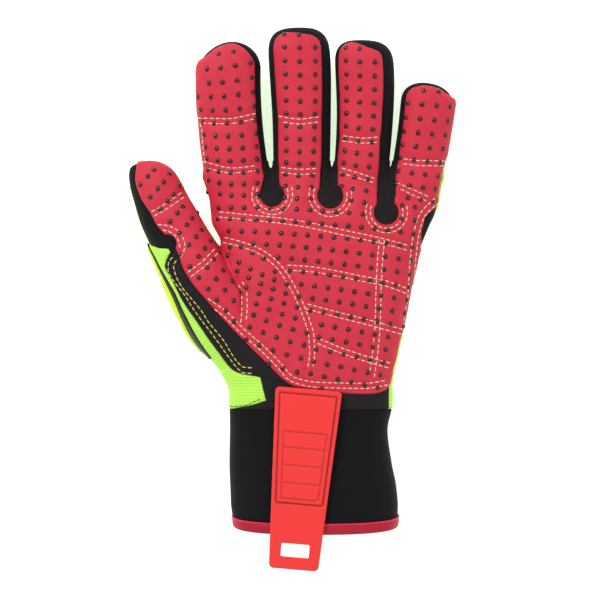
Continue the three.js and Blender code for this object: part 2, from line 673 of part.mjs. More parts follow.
// Nodes

const fabric = (color) => new THREE.MeshStandardMaterial({ color, roughness: 0.85, metalness: 0 });
const rubber = (color) => new THREE.MeshStandardMaterial({ color, roughness: 0.5, metalness: 0 });
const BLACK_KNIT = fabric("#232224");
const NEOPRENE = fabric("#1d1d1f");
const RED_LEATHER = fabric("#e2485a");
const BRIGHT_KNIT = fabric("#b8f04e");
const CRIMSON_TAPE = fabric("#d31f3d");
const RED_RUBBER = rubber("#fb4843");
const BLACK_RUBBER = rubber("#1b1b1c");

const glove = new THREE.Group();
const addNode = (name, solid, material) => {
  const { vertProperties, triVerts } = solid.getMesh();
  const geometry = new THREE.BufferGeometry();
  geometry.setAttribute("position", new THREE.BufferAttribute(new Float32Array(vertProperties), 3));
  geometry.setIndex(new THREE.BufferAttribute(new Uint32Array(triVerts), 1));
  geometry.computeVertexNormals();
  const mesh = new THREE.Mesh(geometry, material);
  mesh.name = name;
  glove.add(mesh);
  return mesh;
};

addNode("hand_shell", handShell, BLACK_KNIT);
limbs.forEach((limb) => addNode(`${limb.name}_sleeve`, sleeveOf(limb), BLACK_KNIT));
addNode("palm_panel", palmPanel, RED_LEATHER);
addNode("thumb_panel", thumbPanel, RED_LEATHER);
addNode("side_panel", sidePanel, BLACK_KNIT);
addNode("wrist_band", wristBand, BLACK_KNIT);
addNode("back_panel", backPanel, BRIGHT_KNIT);
addNode("cuff", cuff, NEOPRENE);
addNode("hem_binding", hemBinding, CRIMSON_TAPE);
addNode("knuckle_guard", knuckleGuard, BLACK_RUBBER);
fingers.forEach((finger, i) => addNode(`${finger.name}_guard`, fingerGuards[i], BLACK_RUBBER));
addNode("thumb_guard", thumbGuard, BLACK_RUBBER);

// The tab's underside clears the wrist band at its seat and the binding at the hem.
const wristTop = LIFT * CUFF_SECTIONS[CUFF_SECTIONS.length - 1].low + WRIST_DEPTH;
const seatHeight = wristTop + CLEARANCE + PALM_LAYER + CLEARANCE;
const hemHeight = LIFT * CUFF_SECTIONS[0].low + CUFF_DEPTH + bindingOut + CLEARANCE;
const tabMesh = addNode("pull_tab", pullTab(), RED_RUBBER);
tabMesh.position.set(TAB_SIDEWAYS, TAB_SEAT, seatHeight);
tabMesh.rotation.set(Math.atan2(seatHeight - hemHeight, CUFF_LENGTH), 0, TAB_TURN, "XYZ");

// The origin is at the middle of the footprint, on the floor.
glove.updateMatrixWorld(true);
const bounds = new THREE.Box3().setFromObject(glove, true);
const middle = bounds.getCenter(new THREE.Vector3());
glove.position.set(-middle.x, -middle.y, -bounds.min.z);

export default glove;
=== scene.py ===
"""The look of an impact glove that lies on its back with the palm up.

Every surface is worked out in millimetres from the middle of the wrist seam, where the part's own tables
start: +X to the little finger, +Y to the fingertips and +Z out of the palm. piece() puts it in the row frame
in metres. The glove's form is one field, below 0 inside it, and each sewn layer is a part of that form's
surface, cut out along its edges and raised by its thickness.
"""

import bpy
import numpy as np
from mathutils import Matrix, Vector


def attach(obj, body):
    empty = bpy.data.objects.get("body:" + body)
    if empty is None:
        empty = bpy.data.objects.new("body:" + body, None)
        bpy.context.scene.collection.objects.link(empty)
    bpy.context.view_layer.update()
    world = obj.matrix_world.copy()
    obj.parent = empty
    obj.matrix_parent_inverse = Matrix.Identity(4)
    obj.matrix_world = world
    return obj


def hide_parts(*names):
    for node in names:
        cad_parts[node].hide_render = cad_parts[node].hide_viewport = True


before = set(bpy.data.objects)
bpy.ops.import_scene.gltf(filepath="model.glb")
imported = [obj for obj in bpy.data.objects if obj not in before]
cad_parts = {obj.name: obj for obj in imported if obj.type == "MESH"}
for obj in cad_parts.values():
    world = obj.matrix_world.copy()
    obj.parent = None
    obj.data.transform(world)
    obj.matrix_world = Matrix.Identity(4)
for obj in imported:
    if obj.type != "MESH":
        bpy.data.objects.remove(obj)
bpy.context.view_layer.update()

MM = 0.001
WRIST_SEAM = np.array([8.657, -60.478, 0.0])  # its middle in the row frame

# Sizes that the part's source has too
CUFF_LENGTH = 63.5
HAND_LENGTH = 125.0
HEM_SLANT = 5.0
CUFF_WIDTH = 90.0
CUFF_DEPTH = 45.0
WRIST_WIDTH = 87.0
WRIST_DEPTH = 40.0
PALM_DEPTH = 36.0
PALM_HOLLOW = 3.5
FINGER_GAP = 1.6
FINGER_STEP = 0.6
ROW_SHIFT = 8.4
LIFT = 7.8  # the back of the hand lies this high above the floor
SHELL_WALL = 2.0
CUFF_WALL = 3.0
CLEARANCE = 0.3
KEYHOLE_RADIUS = 6.6
KEYHOLE_DROP = 10.0
KEYHOLE_NECK = 8.0
RELIEF_RADIUS = 5.0
HAND_SQUARENESS = 2.5
FINGER_SQUARENESS = 2.25

# Sizes of the finer form
HAND_ROUND = 3.0  # of the hand's edge at the fingers' end
HAND_TRIM = 3.0  # how far the hand's sides draw in at the fingers' end
PINCH_REACH = 14.0  # from a finger's root down to where it is narrowest
SIDE_SLOPE = 9.0  # the way along a rounded side in which the slope changes by 1
FRONT_SLOPE = 10.0  # the same over the front's edge


def table(columns, *rows):
    """A table of numbers, as one array for each named column."""
    return dict(zip(columns.split(), np.array(rows, float).T))


CUFF = table(
    "along width depth shift low",
    (0, 0.3, 1, 0.36, 0.2),
    (0.16, 1, 1, 0.33, 0.2),
    (0.33, 0.82, 0.95, 0.25, 0.22),
    (0.52, 0.22, 0.62, 0.08, 0.35),
    (0.82, -0.5, 0.12, -0.06, 0.55),
    (1, 0, 0, 0.05, 0.625),
)
HAND = table(
    "along width wrist low high shift hollow",
    (0, 0, 1, 0, 1, 0.05, 0),
    (0.09, -0.01, 0.85, 0, 1, 0.06, 0.1),
    (0.24, 0.22, 0.4, 0, 1.01, -0.1, 0.5),
    (0.44, 0.38, 0, 0, 1, 0.12, 1),
    (0.64, 0.41, 0, 0, 0.95, 0.67, 0.8),
    (0.8, 0.665, 0, 0, 0.88, 0.91, 0.3),
    (0.92, 0.88, 0, 0.04, 0.77, 1, 0),
    (1, 0.96, 0, 0.24, 0.54, 1, 0),
)
FINGER = table(
    "along width depth",
    (-0.3, -0.1, 0.88),
    (0.04, 0, 1),
    (0.42, 0.4, 0.98),
    (0.78, 1, 0.95),
    (0.895, 1, 0.92),
    (1, 1, 0.84),
)
THUMB = table(
    "along width depth bow",
    (0, 1.037, 0.94, 0.75),
    (0.22, 1.134, 1, -3.3),
    (0.42, 1.039, 0.99, -4.45),
    (0.6, 0.902, 0.87, -4.4),
    (0.75, 0.85, 0.76, -4.15),
    (0.89, 0.77, 0.68, -2.35),
    (1, 0.73, 0.57, 0),
)
# pinch is how much narrower the root is, trim how much narrower the whole finger is than its place in the row
# and shift how far it moves to the thumb's side. cap_power shapes the tip: 2 is a round one, 3 a square one.
FINGERS = table(
    "length width tip_width depth lean bow rise pinch trim shift cap_power",
    (73.4, 34.3, 34, 24.5, -3.2, -2.4, 6, 6, 0, 0, 1.9),
    (80.7, 30.8, 33.6, 24.5, -1.4, 1, 6, 1.5, 0, 0, 3.1),
    (74, 29.7, 32, 24, 1.2, 2.1, 6, 1.5, 0, 0, 3.1),
    (51.8, 29.2, 30.4, 22, 8.1, 0.9, 4.5, 2, 2, 1, 2.2),
)
# Bare margins beside the leather on each finger's front: left, right and at the tip. root is how far below
# the finger's root its leather starts, as a share of its length.
FRONTS = table(
    "left right tip root",
    (0.2, 3.6, 2.8, 0.4),
    (3.6, 5.4, 2.4, 0.4),
    (2.4, 6.8, 2.4, 0.4),
    (2.9, 0.3, 3.2, 0.27),
)
NAMES = ("index", "middle", "ring", "little")

row_width = FINGERS["width"].sum() + 3 * FINGER_GAP
half_row = row_width / 2


def read(rows, column, at):
    """A smooth curve through a column: cubic pieces that never pass beyond the rows on both sides."""
    x, y = rows["along"], rows[column]
    step = np.diff(x)
    rate = np.diff(y) / step
    slope = np.concatenate([rate[:1], np.zeros(len(x) - 2), rate[-1:]])
    for i in range(1, len(x) - 1):
        if rate[i - 1] * rate[i] > 0:
            slope[i] = 2 * rate[i - 1] * rate[i] / (rate[i - 1] + rate[i])
    at = np.clip(at, x[0], x[-1])
    i = np.clip(np.searchsorted(x, at, side="right") - 1, 0, len(x) - 2)
    t = (at - x[i]) / step[i]
    bend = t * t * (3 - 2 * t)
    return (
        y[i] * (1 - bend)
        + y[i + 1] * bend
        + step[i] * (slope[i] * t * (1 - t) ** 2 - slope[i + 1] * t * t * (1 - t))
    )


def mix(a, b, share):
    """a where share is 0, b where it is 1, and in proportion between."""
    return a + (b - a) * share


def smoothstep(low, high, value):
    """0 up to low, 1 from high on, and between them 3 t squared minus 2 t cubed, t being the share."""
    t = np.clip((value - low) / (high - low), 0, 1)
    return t * t * (3 - 2 * t)


# The form of the glove


def make_limbs():
    """The four fingers and the thumb, each with its root, its two directions in plan and its sections."""
    limbs = []
    edge = ROW_SHIFT - half_row
    for i, name in enumerate(NAMES):
        limb = {key: column[i] for key, column in (FINGERS | FRONTS).items()}
        middle_x = edge + limb["width"] / 2 - limb["shift"]
        limb.update(name=name, rows=FINGER, base=np.array([middle_x, HAND_LENGTH]))
        limb.update(cap_from=0.8, cap_length=0.21, blend=6.0, root_cap=8.0, skew=0)
        edge += limb["width"] + FINGER_GAP
        limbs.append(limb)
    thumb = dict(name="thumb", length=117.6, width=34.5, depth=35, lean=-28.3, rise=7, skew=0.45, tip=0.5)
    thumb.update(rows=THUMB, base=np.array([-0.503 * half_row, 0.234 * HAND_LENGTH]))
    thumb.update(cap_from=0.85, cap_length=0.155, cap_power=3.2, blend=5.0, root_cap=16.0)
    limbs.append(thumb)
    for limb in limbs:
        lean = np.radians(limb["lean"])
        limb["axis"] = np.array([np.sin(lean), np.cos(lean)])
        limb["side"] = np.array([np.cos(lean), -np.sin(lean)])
    return limbs


limbs = make_limbs()
index, middle, ring, little, thumb = limbs


def limb_place(limb, points):
    """Where points are in a limb: along, across and above its middle line, and its half width and half depth.

    The middle line is straight with a bow added, a parabola on a finger and a curve through rows on the
    thumb, and it rises with the square of the way along.
    """
    apart = points[:, :2] - limb["base"]
    along = apart @ limb["axis"] / limb["length"]
    reach = np.clip(along, 0, 1)
    across = apart @ limb["side"]
    width = read(limb["rows"], "width", along)
    if limb is thumb:
        across -= read(THUMB, "bow", along)
        half = limb["width"] * width / 2
    else:
        across -= limb["bow"] * 4 * reach * (1 - reach)
        half = mix(limb["width"], limb["tip_width"], width) / 2
        half -= (limb["pinch"] * smoothstep(0, -PINCH_REACH, along * limb["length"]) + limb["trim"]) / 2
    deep = limb["depth"] * read(limb["rows"], "depth", along) / 2
    up = points[:, 2] - (LIFT + FINGER_STEP + deep + limb["rise"] * reach**2)
    return along, across, up, half, deep


def limb_field(limb, points):
    """A superellipse in section that closes like a dome at both ends, as a distance in millimetres.

    A point's size is 1 on the surface and grows in proportion outwards. The distance is its size minus 1,
    over how fast the size grows in a millimetre.
    """
    along, across, up, half, deep = limb_place(limb, points)
    n, q = FINGER_SQUARENESS, limb["cap_power"]
    u, v = np.abs(across) / half, np.abs(up) / deep
    rho = np.maximum((u**n + v**n) ** (1 / n), 1e-6)
    slanted = along + limb["skew"] * across / limb["length"]
    tip = np.maximum(slanted - limb["cap_from"], 0) / limb["cap_length"]
    root = np.maximum(limb["rows"]["along"][0] - along, 0) * limb["length"] / limb["root_cap"]
    past = np.maximum(tip, root)
    size = np.maximum((rho**q + past**q) ** (1 / q), 1e-6)
    cap = np.where(root > tip, limb["root_cap"], limb["cap_length"] * limb["length"])
    slope = (rho / size) ** (2 * q - 2) * (
        ((u / rho) ** (n - 1) / half) ** 2 + ((v / rho) ** (n - 1) / deep) ** 2
    ) + ((past / size) ** (q - 1) / cap) ** 2
    return (size - 1) / np.sqrt(slope)


def hand_place(along):
    """The hand's section at a share of its length: its middle in x, half width, bottom and top.

    It goes from the wrist's oval to the finger row's, by the shares in the table.
    """
    wrist_low = LIFT * CUFF["low"][-1]
    wrist = read(HAND, "wrist", along)
    low = mix(LIFT + PALM_DEPTH * read(HAND, "low", along), wrist_low, wrist)
    high = mix(LIFT + PALM_DEPTH * read(HAND, "high", along), wrist_low + WRIST_DEPTH, wrist)
    half = mix(WRIST_WIDTH, row_width, read(HAND, "width", along)) / 2
    half = half - HAND_TRIM * smoothstep(0.8, 0.96, along)
    return ROW_SHIFT * read(HAND, "shift", along), half, low, high


def hand_field(points):
    """A superellipse with the hollow of the palm pressed into its top, as a distance in millimetres.

    Its side and its flat end meet in a round edge: the distance to the corner of both, drawn in by the edge's
    radius, minus that radius.
    """
    along = points[:, 1] / HAND_LENGTH
    x, half, low, high = hand_place(along)
    deep = (high - low) / 2
    u = np.abs(points[:, 0] - x) / half
    v = (points[:, 2] - low - deep) / deep
    dent = PALM_HOLLOW * read(HAND, "hollow", along) * (1 - np.minimum(u, 1) ** 2) ** 2
    v = np.abs(v + dent / deep * smoothstep(0, 0.8, v))
    n = HAND_SQUARENESS
    rho = np.maximum((u**n + v**n) ** (1 / n), 1e-6)
    slope = ((u / rho) ** (n - 1) / half) ** 2 + ((v / rho) ** (n - 1) / deep) ** 2
    side = (rho - 1) / np.sqrt(slope) + HAND_ROUND
    end = points[:, 1] - HAND_LENGTH
    within = np.minimum(np.maximum(side, end), 0)
    return within + np.hypot(np.maximum(side, 0), np.maximum(end, 0)) - HAND_ROUND


def smooth_min(a, b, reach):
    """The lesser of two distances, less a quarter of their overlap squared where they are within reach."""
    overlap = np.maximum(reach - np.abs(a - b), 0) / reach
    return np.minimum(a, b) - overlap**2 * reach / 4


def glove_field(points):
    """The hand with each limb grown into it. Neighbouring fingers don't grow into each other.

    A limb is worked out only for the points near it in plan.
    """
    hand = hand_field(points)
    field = hand.copy()
    for limb in limbs:
        reach = limb["width"] / 2 + 12
        apart = points[:, :2] - limb["base"]
        along, across = apart @ limb["axis"], np.abs(apart @ limb["side"])
        near = (across < reach) & (along > -45) & (along < limb["length"] + 10)
        both = smooth_min(hand[near], limb_field(limb, points[near]), limb["blend"])
        field[near] = np.minimum(field[near], both)
    return field


def facing(points):
    """The unit normal of the field at points, by small differences."""
    step = 0.05
    rise = np.stack([glove_field(points + step * e) - glove_field(points - step * e) for e in np.eye(3)], 1)
    return rise / np.maximum(np.linalg.norm(rise, axis=1, keepdims=True), 1e-9)


def settle(points):
    """Moves points onto the form's surface: three steps along the normal, each as long as the field says."""
    for _ in range(3):
        points = points - np.clip(glove_field(points), -1, 1)[:, None] * facing(points)
    return points


# Meshes of the form's surface


def surface_net(low, high, cell):
    """Triangles of the form's surface inside a box.

    Each cubic cell that the surface crosses gets a vertex in the middle of its crossings, and each edge of
    the grid that it crosses gets a quad between the four cells round it. Cells far from the surface are only
    looked at in blocks.
    """
    block = 4
    low, high = np.array(low, float), np.array(high, float)
    count = np.ceil((high - low) / (cell * block)).astype(int)
    corners = [low[a] + cell * block * np.arange(count[a] + 1) for a in range(3)]
    rough = glove_field(np.stack(np.meshgrid(*corners, indexing="ij"), -1).reshape(-1, 3)).reshape(count + 1)
    near = np.full(count, np.inf)
    shifts = np.array(np.meshgrid([0, 1], [0, 1], [0, 1], indexing="ij")).reshape(3, -1).T
    for dx, dy, dz in shifts:
        part = rough[dx : dx + count[0], dy : dy + count[1], dz : dz + count[2]]
        near = np.minimum(near, np.abs(part))
    cells = (near < 1.8 * cell * block).repeat(block, 0).repeat(block, 1).repeat(block, 2)
    size = np.array(cells.shape)
    value = rough[np.ix_(*[np.minimum(np.arange(size[a] + 1) // block, count[a]) for a in range(3)])]
    wanted = np.zeros(size + 1, bool)
    for dx, dy, dz in shifts:
        wanted[dx : dx + size[0], dy : dy + size[1], dz : dz + size[2]] |= cells
    value[wanted] = glove_field(low + cell * np.argwhere(wanted))
    inside = value < 0
    total = np.zeros(size, np.int8)
    for dx, dy, dz in shifts:
        total += inside[dx : dx + size[0], dy : dy + size[1], dz : dz + size[2]]
    crossed = np.argwhere((total > 0) & (total < 8))
    number = np.full(size, -1)
    number[tuple(crossed.T)] = np.arange(len(crossed))
    found = [value[tuple((crossed + shift).T)] for shift in shifts]
    place, hits = np.zeros((len(crossed), 3)), np.zeros(len(crossed))
    for a in range(8):
        for b in range(a + 1, 8):
            if np.abs(shifts[a] - shifts[b]).sum() == 1:
                cut = (found[a] < 0) != (found[b] < 0)
                share = found[a][cut] / (found[a][cut] - found[b][cut])
                place[cut] += shifts[a] + share[:, None] * (shifts[b] - shifts[a])
                hits[cut] += 1
    points = low + cell * (crossed + place / hits[:, None])
    quads = []
    for a in range(3):
        along, one, two = np.eye(3, dtype=int)[[a, (a + 1) % 3, (a + 2) % 3]]
        start = [slice(None, -1) if along[k] else slice(1, -1) for k in range(3)]
        end = [slice(1, None) if along[k] else slice(1, -1) for k in range(3)]
        edge = np.argwhere(inside[tuple(start)] != inside[tuple(end)]) + (1 - along)
        ring_cells = [edge - one - two, edge - two, edge, edge - one]
        quad = np.stack([number[tuple(c.T)] for c in ring_cells], 1)
        outward = inside[tuple(edge.T)]
        quads.append(np.where(outward[:, None], quad, quad[:, ::-1]))
    quads = np.concatenate(quads)
    faces = np.concatenate([quads[:, [0, 1, 2]], quads[:, [0, 2, 3]]])
    return settle(points), faces


def compact(points, faces):
    """The same mesh without the points that no face uses."""
    used, faces = np.unique(faces, return_inverse=True)
    return points[used], faces.reshape(-1, 3)


def clip(points, faces, value, snap=0.08):
    """Cuts triangles where the value at their points passes 0, and keeps the side above it.

    A cut edge gets a point in proportion to the values at its ends. Points within snap of the cut lie on it.
    """
    value = np.where(np.abs(value) < snap, 0.0, value)
    inside = value >= 0
    count = inside[faces].sum(1)
    split = faces[(count == 1) | (count == 2)]
    state = inside[split]
    alone = np.where(state.sum(1) == 1, state.argmax(1), (~state).argmax(1))
    split = np.take_along_axis(split, (alone[:, None] + np.arange(3)) % 3, 1)
    ends = np.sort(np.stack([split[:, [0, 1]], split[:, [0, 2]]], 1).reshape(-1, 2), 1)
    code, where = np.unique(ends[:, 0] * len(points) + ends[:, 1], return_inverse=True)
    a, b = code // len(points), code % len(points)
    share = value[a] / (value[a] - value[b])
    made = points[a] + share[:, None] * (points[b] - points[a])
    number = len(points) + np.arange(len(code))
    number = np.where(value[a] == 0, a, np.where(value[b] == 0, b, number))
    cut = number[where.reshape(-1)].reshape(-1, 2)
    first, second, third = split.T
    one, other = cut.T
    lone = inside[first]
    kept = np.concatenate(
        [
            faces[count == 3],
            np.stack([first, one, other], 1)[lone],
            np.stack([one, second, third], 1)[~lone],
            np.stack([one, third, other], 1)[~lone],
        ]
    )
    whole = (kept != np.roll(kept, 1, axis=1)).all(1)
    return compact(np.concatenate([points, made]), kept[whole])


def open_edges(faces):
    """The edges that only one triangle has, in that triangle's direction."""
    edges = np.concatenate([faces[:, [0, 1]], faces[:, [1, 2]], faces[:, [2, 0]]])
    low, high = np.sort(edges, 1).T
    _, first, count = np.unique(low * (faces.max() + 1) + high, return_index=True, return_counts=True)
    return edges[first[count == 1]]


def with_rim(points, faces, sunk):
    """Adds a rim that joins the open edges to the points in sunk, one for each point."""
    edges = open_edges(faces)
    start, end = edges.T
    shift = len(points)
    rim = np.concatenate(
        [np.stack([end, start, start + shift], 1), np.stack([end, start + shift, end + shift], 1)]
    )
    return compact(np.concatenate([points, sunk]), np.concatenate([faces, rim]))


# Lines and outlines in plan


def curve(points, step=1.5):
    """A smooth line through points, as a row of points about step apart: x and y are read at each length."""
    points = np.array(points, float)
    length = np.concatenate([[0], np.cumsum(np.linalg.norm(np.diff(points, axis=0), axis=1))])
    rows = {"along": length, "x": points[:, 0], "y": points[:, 1]}
    at = np.linspace(0, length[-1], max(int(length[-1] / step) + 1, 2))
    return np.stack([read(rows, "x", at), read(rows, "y", at)], 1)


def line_distance(plan, line, reach=14.0):
    """The distance in plan to the nearest point of a line where that is less than reach, or else reach."""
    found = np.full(len(plan), reach)
    near = ((plan > line.min(0) - reach) & (plan < line.max(0) + reach)).all(1)
    p = plan[near]
    best = found[near]
    for a, b in zip(line[:-1], line[1:]):
        t = np.clip(((p - a) @ (b - a)) / ((b - a) @ (b - a)), 0, 1)
        best = np.minimum(best, np.linalg.norm(p - a - t[:, None] * (b - a), axis=1))
    found[near] = best
    return found


def inside_outline(plan, outline):
    """The distance in plan to a closed outline, above 0 inside it.

    Inside is where a ray to the right crosses it an odd number of times.
    """
    closed = np.concatenate([outline, outline[:1]])
    inside = np.zeros(len(plan), bool)
    x, y = plan.T
    for (ax, ay), (bx, by) in zip(closed[:-1], closed[1:]):
        if ay != by:
            inside ^= ((ay > y) != (by > y)) & (x < (bx - ax) * (y - ay) / (by - ay) + ax)
    distance = line_distance(plan, closed, 400.0)
    return np.where(inside, distance, -distance)


def shares(*rows):
    """Points given as shares of the half finger row and of the hand's length."""
    return np.array(rows) * [half_row, HAND_LENGTH]


# Edges of the palm's and the thumb's leather, of the strip beside it, and the crease between palm and thumb
PALM_HEM = shares(
    (0.679, 0.121), (0.612, 0.082), (0.478, 0.067), (0.256, 0.074), (-0.01, 0.09), (-0.134, 0.1)
)
THENAR_EDGE = shares(
    (-0.134, 0.1), (-0.217, 0.128), (-0.37, 0.205), (-0.553, 0.298), (-0.863, 0.471), (-1.03, 0.585),
    (-1.12, 0.7)
)
SIDE_EDGE = shares(
    (-1.134, 0.668), (-1.186, 0.643), (-1.202, 0.618), (-1.182, 0.594), (-1.143, 0.558), (-1.056, 0.471),
    (-0.922, 0.367), (-0.78, 0.263), (-0.612, 0.165), (-0.411, 0.142)
)
THUMB_EDGE = np.array([(-78.5, 95), (-81, 97.7), (-85.9, 106.4), (-90.7, 115), (-93.4, 123.7), (-92.9, 134)])
CREASE = np.array([
    (-54, 93), (-46, 91.5), (-36.7, 88.7), (-28, 85.4), (-20.5, 80.3), (-14.3, 73.5), (-9.4, 65.5),
    (-5.3, 57.2), (-1.9, 48.5), (0.6, 39.7), (1.1, 30.5), (-0.2, 21.3), (-2, 6)
])
# The middle of each double row of stitches that quilts the palm's leather
SEAMS = {
    "index_far": [(-60.5, 156.4), (-58.9, 156), (-44.4, 155), (-30.1, 158), (-27, 159)],
    "index_near": [(-57.5, 133), (-55.6, 132.2), (-41.4, 128.5), (-27, 130.1)],
    "middle_far": [(-20, 157.2), (-16.7, 156.7), (-5.8, 154.8), (5.3, 156.3)],
    "middle_near": [(-15.4, 128.9), (-4.8, 127.8), (5.9, 128.5)],
    "ring_far": [(17.8, 146.1), (28.5, 144.6), (39.1, 145.6)],
    "ring_near": [(16.8, 128.7), (26.6, 125.6), (36.3, 121.9)],
    "little_far": [(47.3, 134.2), (59.9, 132.6), (72.7, 133.1)],
    "little_near": [(45.8, 120.4), (54.7, 116.6), (63.6, 112.9)],
    "palm_top": [
        (-48.7, 105), (-31.5, 102.8), (-14.3, 100.9), (2.8, 98.1), (19.7, 94.4), (36.6, 90.8), (53.3, 86.5)
    ],
    "crease": CREASE[1:-1],
    "palm_upper": [(-12.7, 76.1), (0.6, 75.2), (13.7, 73), (26.8, 70.3), (39.8, 67.7), (52.4, 63.3)],
    "palm_middle": [(-2.2, 55.5), (15.1, 50.8), (32.4, 46.4), (49.7, 41.6)],
    "palm_lower": [(3.9, 37), (16.8, 31.7), (30, 27.3), (43.4, 23.4)],
    "little_column": [(38.3, 91.5), (37, 76.8), (36.3, 62), (35.8, 47.2), (34.5, 32.5), (32.3, 17.8)],
    "little_edge": [
        (67.8, 113.5), (59, 103), (55.4, 89.7), (53.8, 76), (52.6, 62.2), (50.8, 48.5), (49, 34.8),
        (47.2, 21.1)
    ],
    "hem": [
        (-55.6, 58.9), (-45.4, 51.4), (-36.4, 42.4), (-26.8, 34.1), (-17.7, 25.3), (-8.7, 16.3), (3.3, 13.6),
        (16.1, 13.2), (28.8, 13), (41.3, 14.9)
    ],
    "thumb_far": [(-84.3, 104.6), (-75.3, 110), (-67.2, 116.7)],
    "relief": [(-81.8, 98.1), (-75.4, 96.8), (-70.2, 93), (-68, 87.2), (-70.2, 81)],
    "thumb_near": [(-64.5, 72.1), (-56.9, 77.9), (-50.5, 85.1)],
    "web": [(-37.7, 68), (-35.2, 63.6), (-35.2, 55.6), (-35.9, 46.3)],
    "index_edge": [(-58.2, 155), (-57, 149.3), (-56.2, 138.8), (-55, 134)],
}
# Single rows in yellow on the strip at the thumb's side
SIDE_ROWS = [
    [
        (-72.6, 82.2), (-74.9, 78.5), (-75, 75.2), (-72, 69.2), (-66.8, 62.5), (-62.3, 55.2), (-57.4, 48.2),
        (-52.6, 42), (-47.6, 35.1), (-42.7, 28.3), (-37.2, 21.6), (-35.2, 20.3), (-28.4, 19.7)
    ],
    [
        (-70.6, 80.3), (-72.2, 77.3), (-71, 72.3), (-67.9, 66.2), (-62.5, 59.3), (-57.5, 53.1), (-53.8, 47.2),
        (-48.9, 41.3), (-45.1, 36.3), (-41.4, 30.2), (-36.4, 24), (-34.6, 23.1), (-30.2, 22.8)
    ],
]
HEM_ROW = [(-43, 1.5), (-35.2, 2.1), (-26.5, 5.7), (-22.6, 6.2)]  # in dark green along the bright knit's hem
ROW_APART = 2.7  # between the two rows of a double seam
WEB_FOLD = [(-50, 88), (-48, 84), (-44.5, 76), (-39, 67.3), (-36, 62), (-36, 55)]

# Keyholes between the fingers' roots: a round hole in the leather, and a neck that goes on between them. drop
# is a share of the usual drop, radius and shift of the usual radius, and left the neck's reach to the left.
KEYHOLES = table("drop radius shift left", (0.97, 0.98, 0.1, 4), (1.03, 1.05, -0.1, 4), (1.92, 1, -0.3, 5.4))
NECK_REACH = 9.0  # past the hand's end
KEYHOLE_SEAM = 3.3  # from a keyhole's edge to the middle of its double row


def make_keyholes():
    """Each keyhole's middle, radius and neck, and the arc of its seam, from -205 to 25 degrees round it."""
    keyholes, arcs = [], {}
    turn = np.radians(np.linspace(-205, 25, 24))
    for i, limb in enumerate((index, middle, ring)):
        drop, size, shift, left = [KEYHOLES[key][i] for key in ("drop", "radius", "shift", "left")]
        crotch = limb["base"][0] + limb["width"] / 2 + FINGER_GAP / 2
        centre = np.array([crotch + shift * KEYHOLE_RADIUS, HAND_LENGTH - drop * KEYHOLE_DROP])
        radius = size * KEYHOLE_RADIUS
        neck = np.array([[-left, 0], [KEYHOLE_NECK / 2, 0]])
        outline = np.concatenate([neck + centre, neck[::-1] + [crotch, HAND_LENGTH + NECK_REACH]])
        keyholes.append((centre, radius, outline))
        round_it = np.stack([np.cos(turn), np.sin(turn)], 1)
        arcs[f"keyhole_{limb['name']}"] = centre + (radius + KEYHOLE_SEAM) * round_it
    return keyholes, arcs


keyholes, keyhole_arcs = make_keyholes()
relief = np.array([-76.3, 88.8])  # the middle of the round relief at the thumb's outer side
seams = {name: curve(points) for name, points in (SEAMS | keyhole_arcs).items()}

# The outline of the palm's and the thumb's leather. It runs past the form where the form's side is the edge.
RED_OUTLINE = np.concatenate([
    curve(PALM_HEM),
    curve(THENAR_EDGE)[1:],
    curve(THUMB_EDGE),
    [(-92, 150), (-66, 150), (-62, 113)],
    [(70.4, 114.4), (67.1, 108.9), (61.9, 103.7), (59.6, 96), (58.9, 88.2)],
    [(59.8, 84.5), (66, 82), (82, 81), (82, 15.1)],
])
THUMB_SIDE = np.concatenate([curve(CREASE), [(-2, -20), (-130, -20), (-130, 160), (-70, 160), (-61, 122)]])
SIDE_OUTLINE = np.concatenate([curve(SIDE_EDGE), curve(THENAR_EDGE)[2:]])
# The lowest slope of the surface that the palm's leather covers at the little finger's side: 1 is level.
PALM_SIDE = table("along slope", (0.05, 0.42), (0.3, 0.42), (0.38, 0.15), (0.93, 0.1))


def in_plane(limb, points):
    """Points moved straight up or down to a limb's middle line, and their place along and across the limb."""
    along, across, up, half, _ = limb_place(limb, points)
    flat = points.copy()
    flat[:, 2] -= up
    return flat, along, across / half, half


def finger_front(limb, points, lean):
    """Above 0 on the leather of a finger's front, as the distance inside the finger's outline less a margin.

    At the index finger's left and the little finger's right it goes round the finger's side, up to the tip.
    """
    flat, along, side, half = in_plane(limb, points)
    right, bare = limb["right"], smoothstep(0.78, 0.9, along)
    if limb is little:
        right = np.interp(along, (-0.25, -0.06, 0.1, 0.26), (0.2, 0.8, 0.7, right))
        bare = np.maximum(bare, smoothstep(0.26, 0.14, along))
    elif limb is ring:
        right = np.interp(along, (-0.1, 0.25), (5.3, right))
    margin = mix(limb["left"], right, smoothstep(-0.5, 0.5, side))
    margin = np.maximum(margin, limb["tip"] * smoothstep(0.72, 0.92, along))
    rest = -limb_field(limb, flat) - margin
    if limb is index or limb is little:
        wraps = (side < 0) if limb is index else (side > 0)
        rest = np.where(wraps & (np.abs(side) < 1.2), mix(half * 0.9, rest, bare), rest)
    level = (lean + 0.25) * FRONT_SLOPE
    return np.minimum.reduce([rest, level, (along + limb["root"]) * limb["length"]])


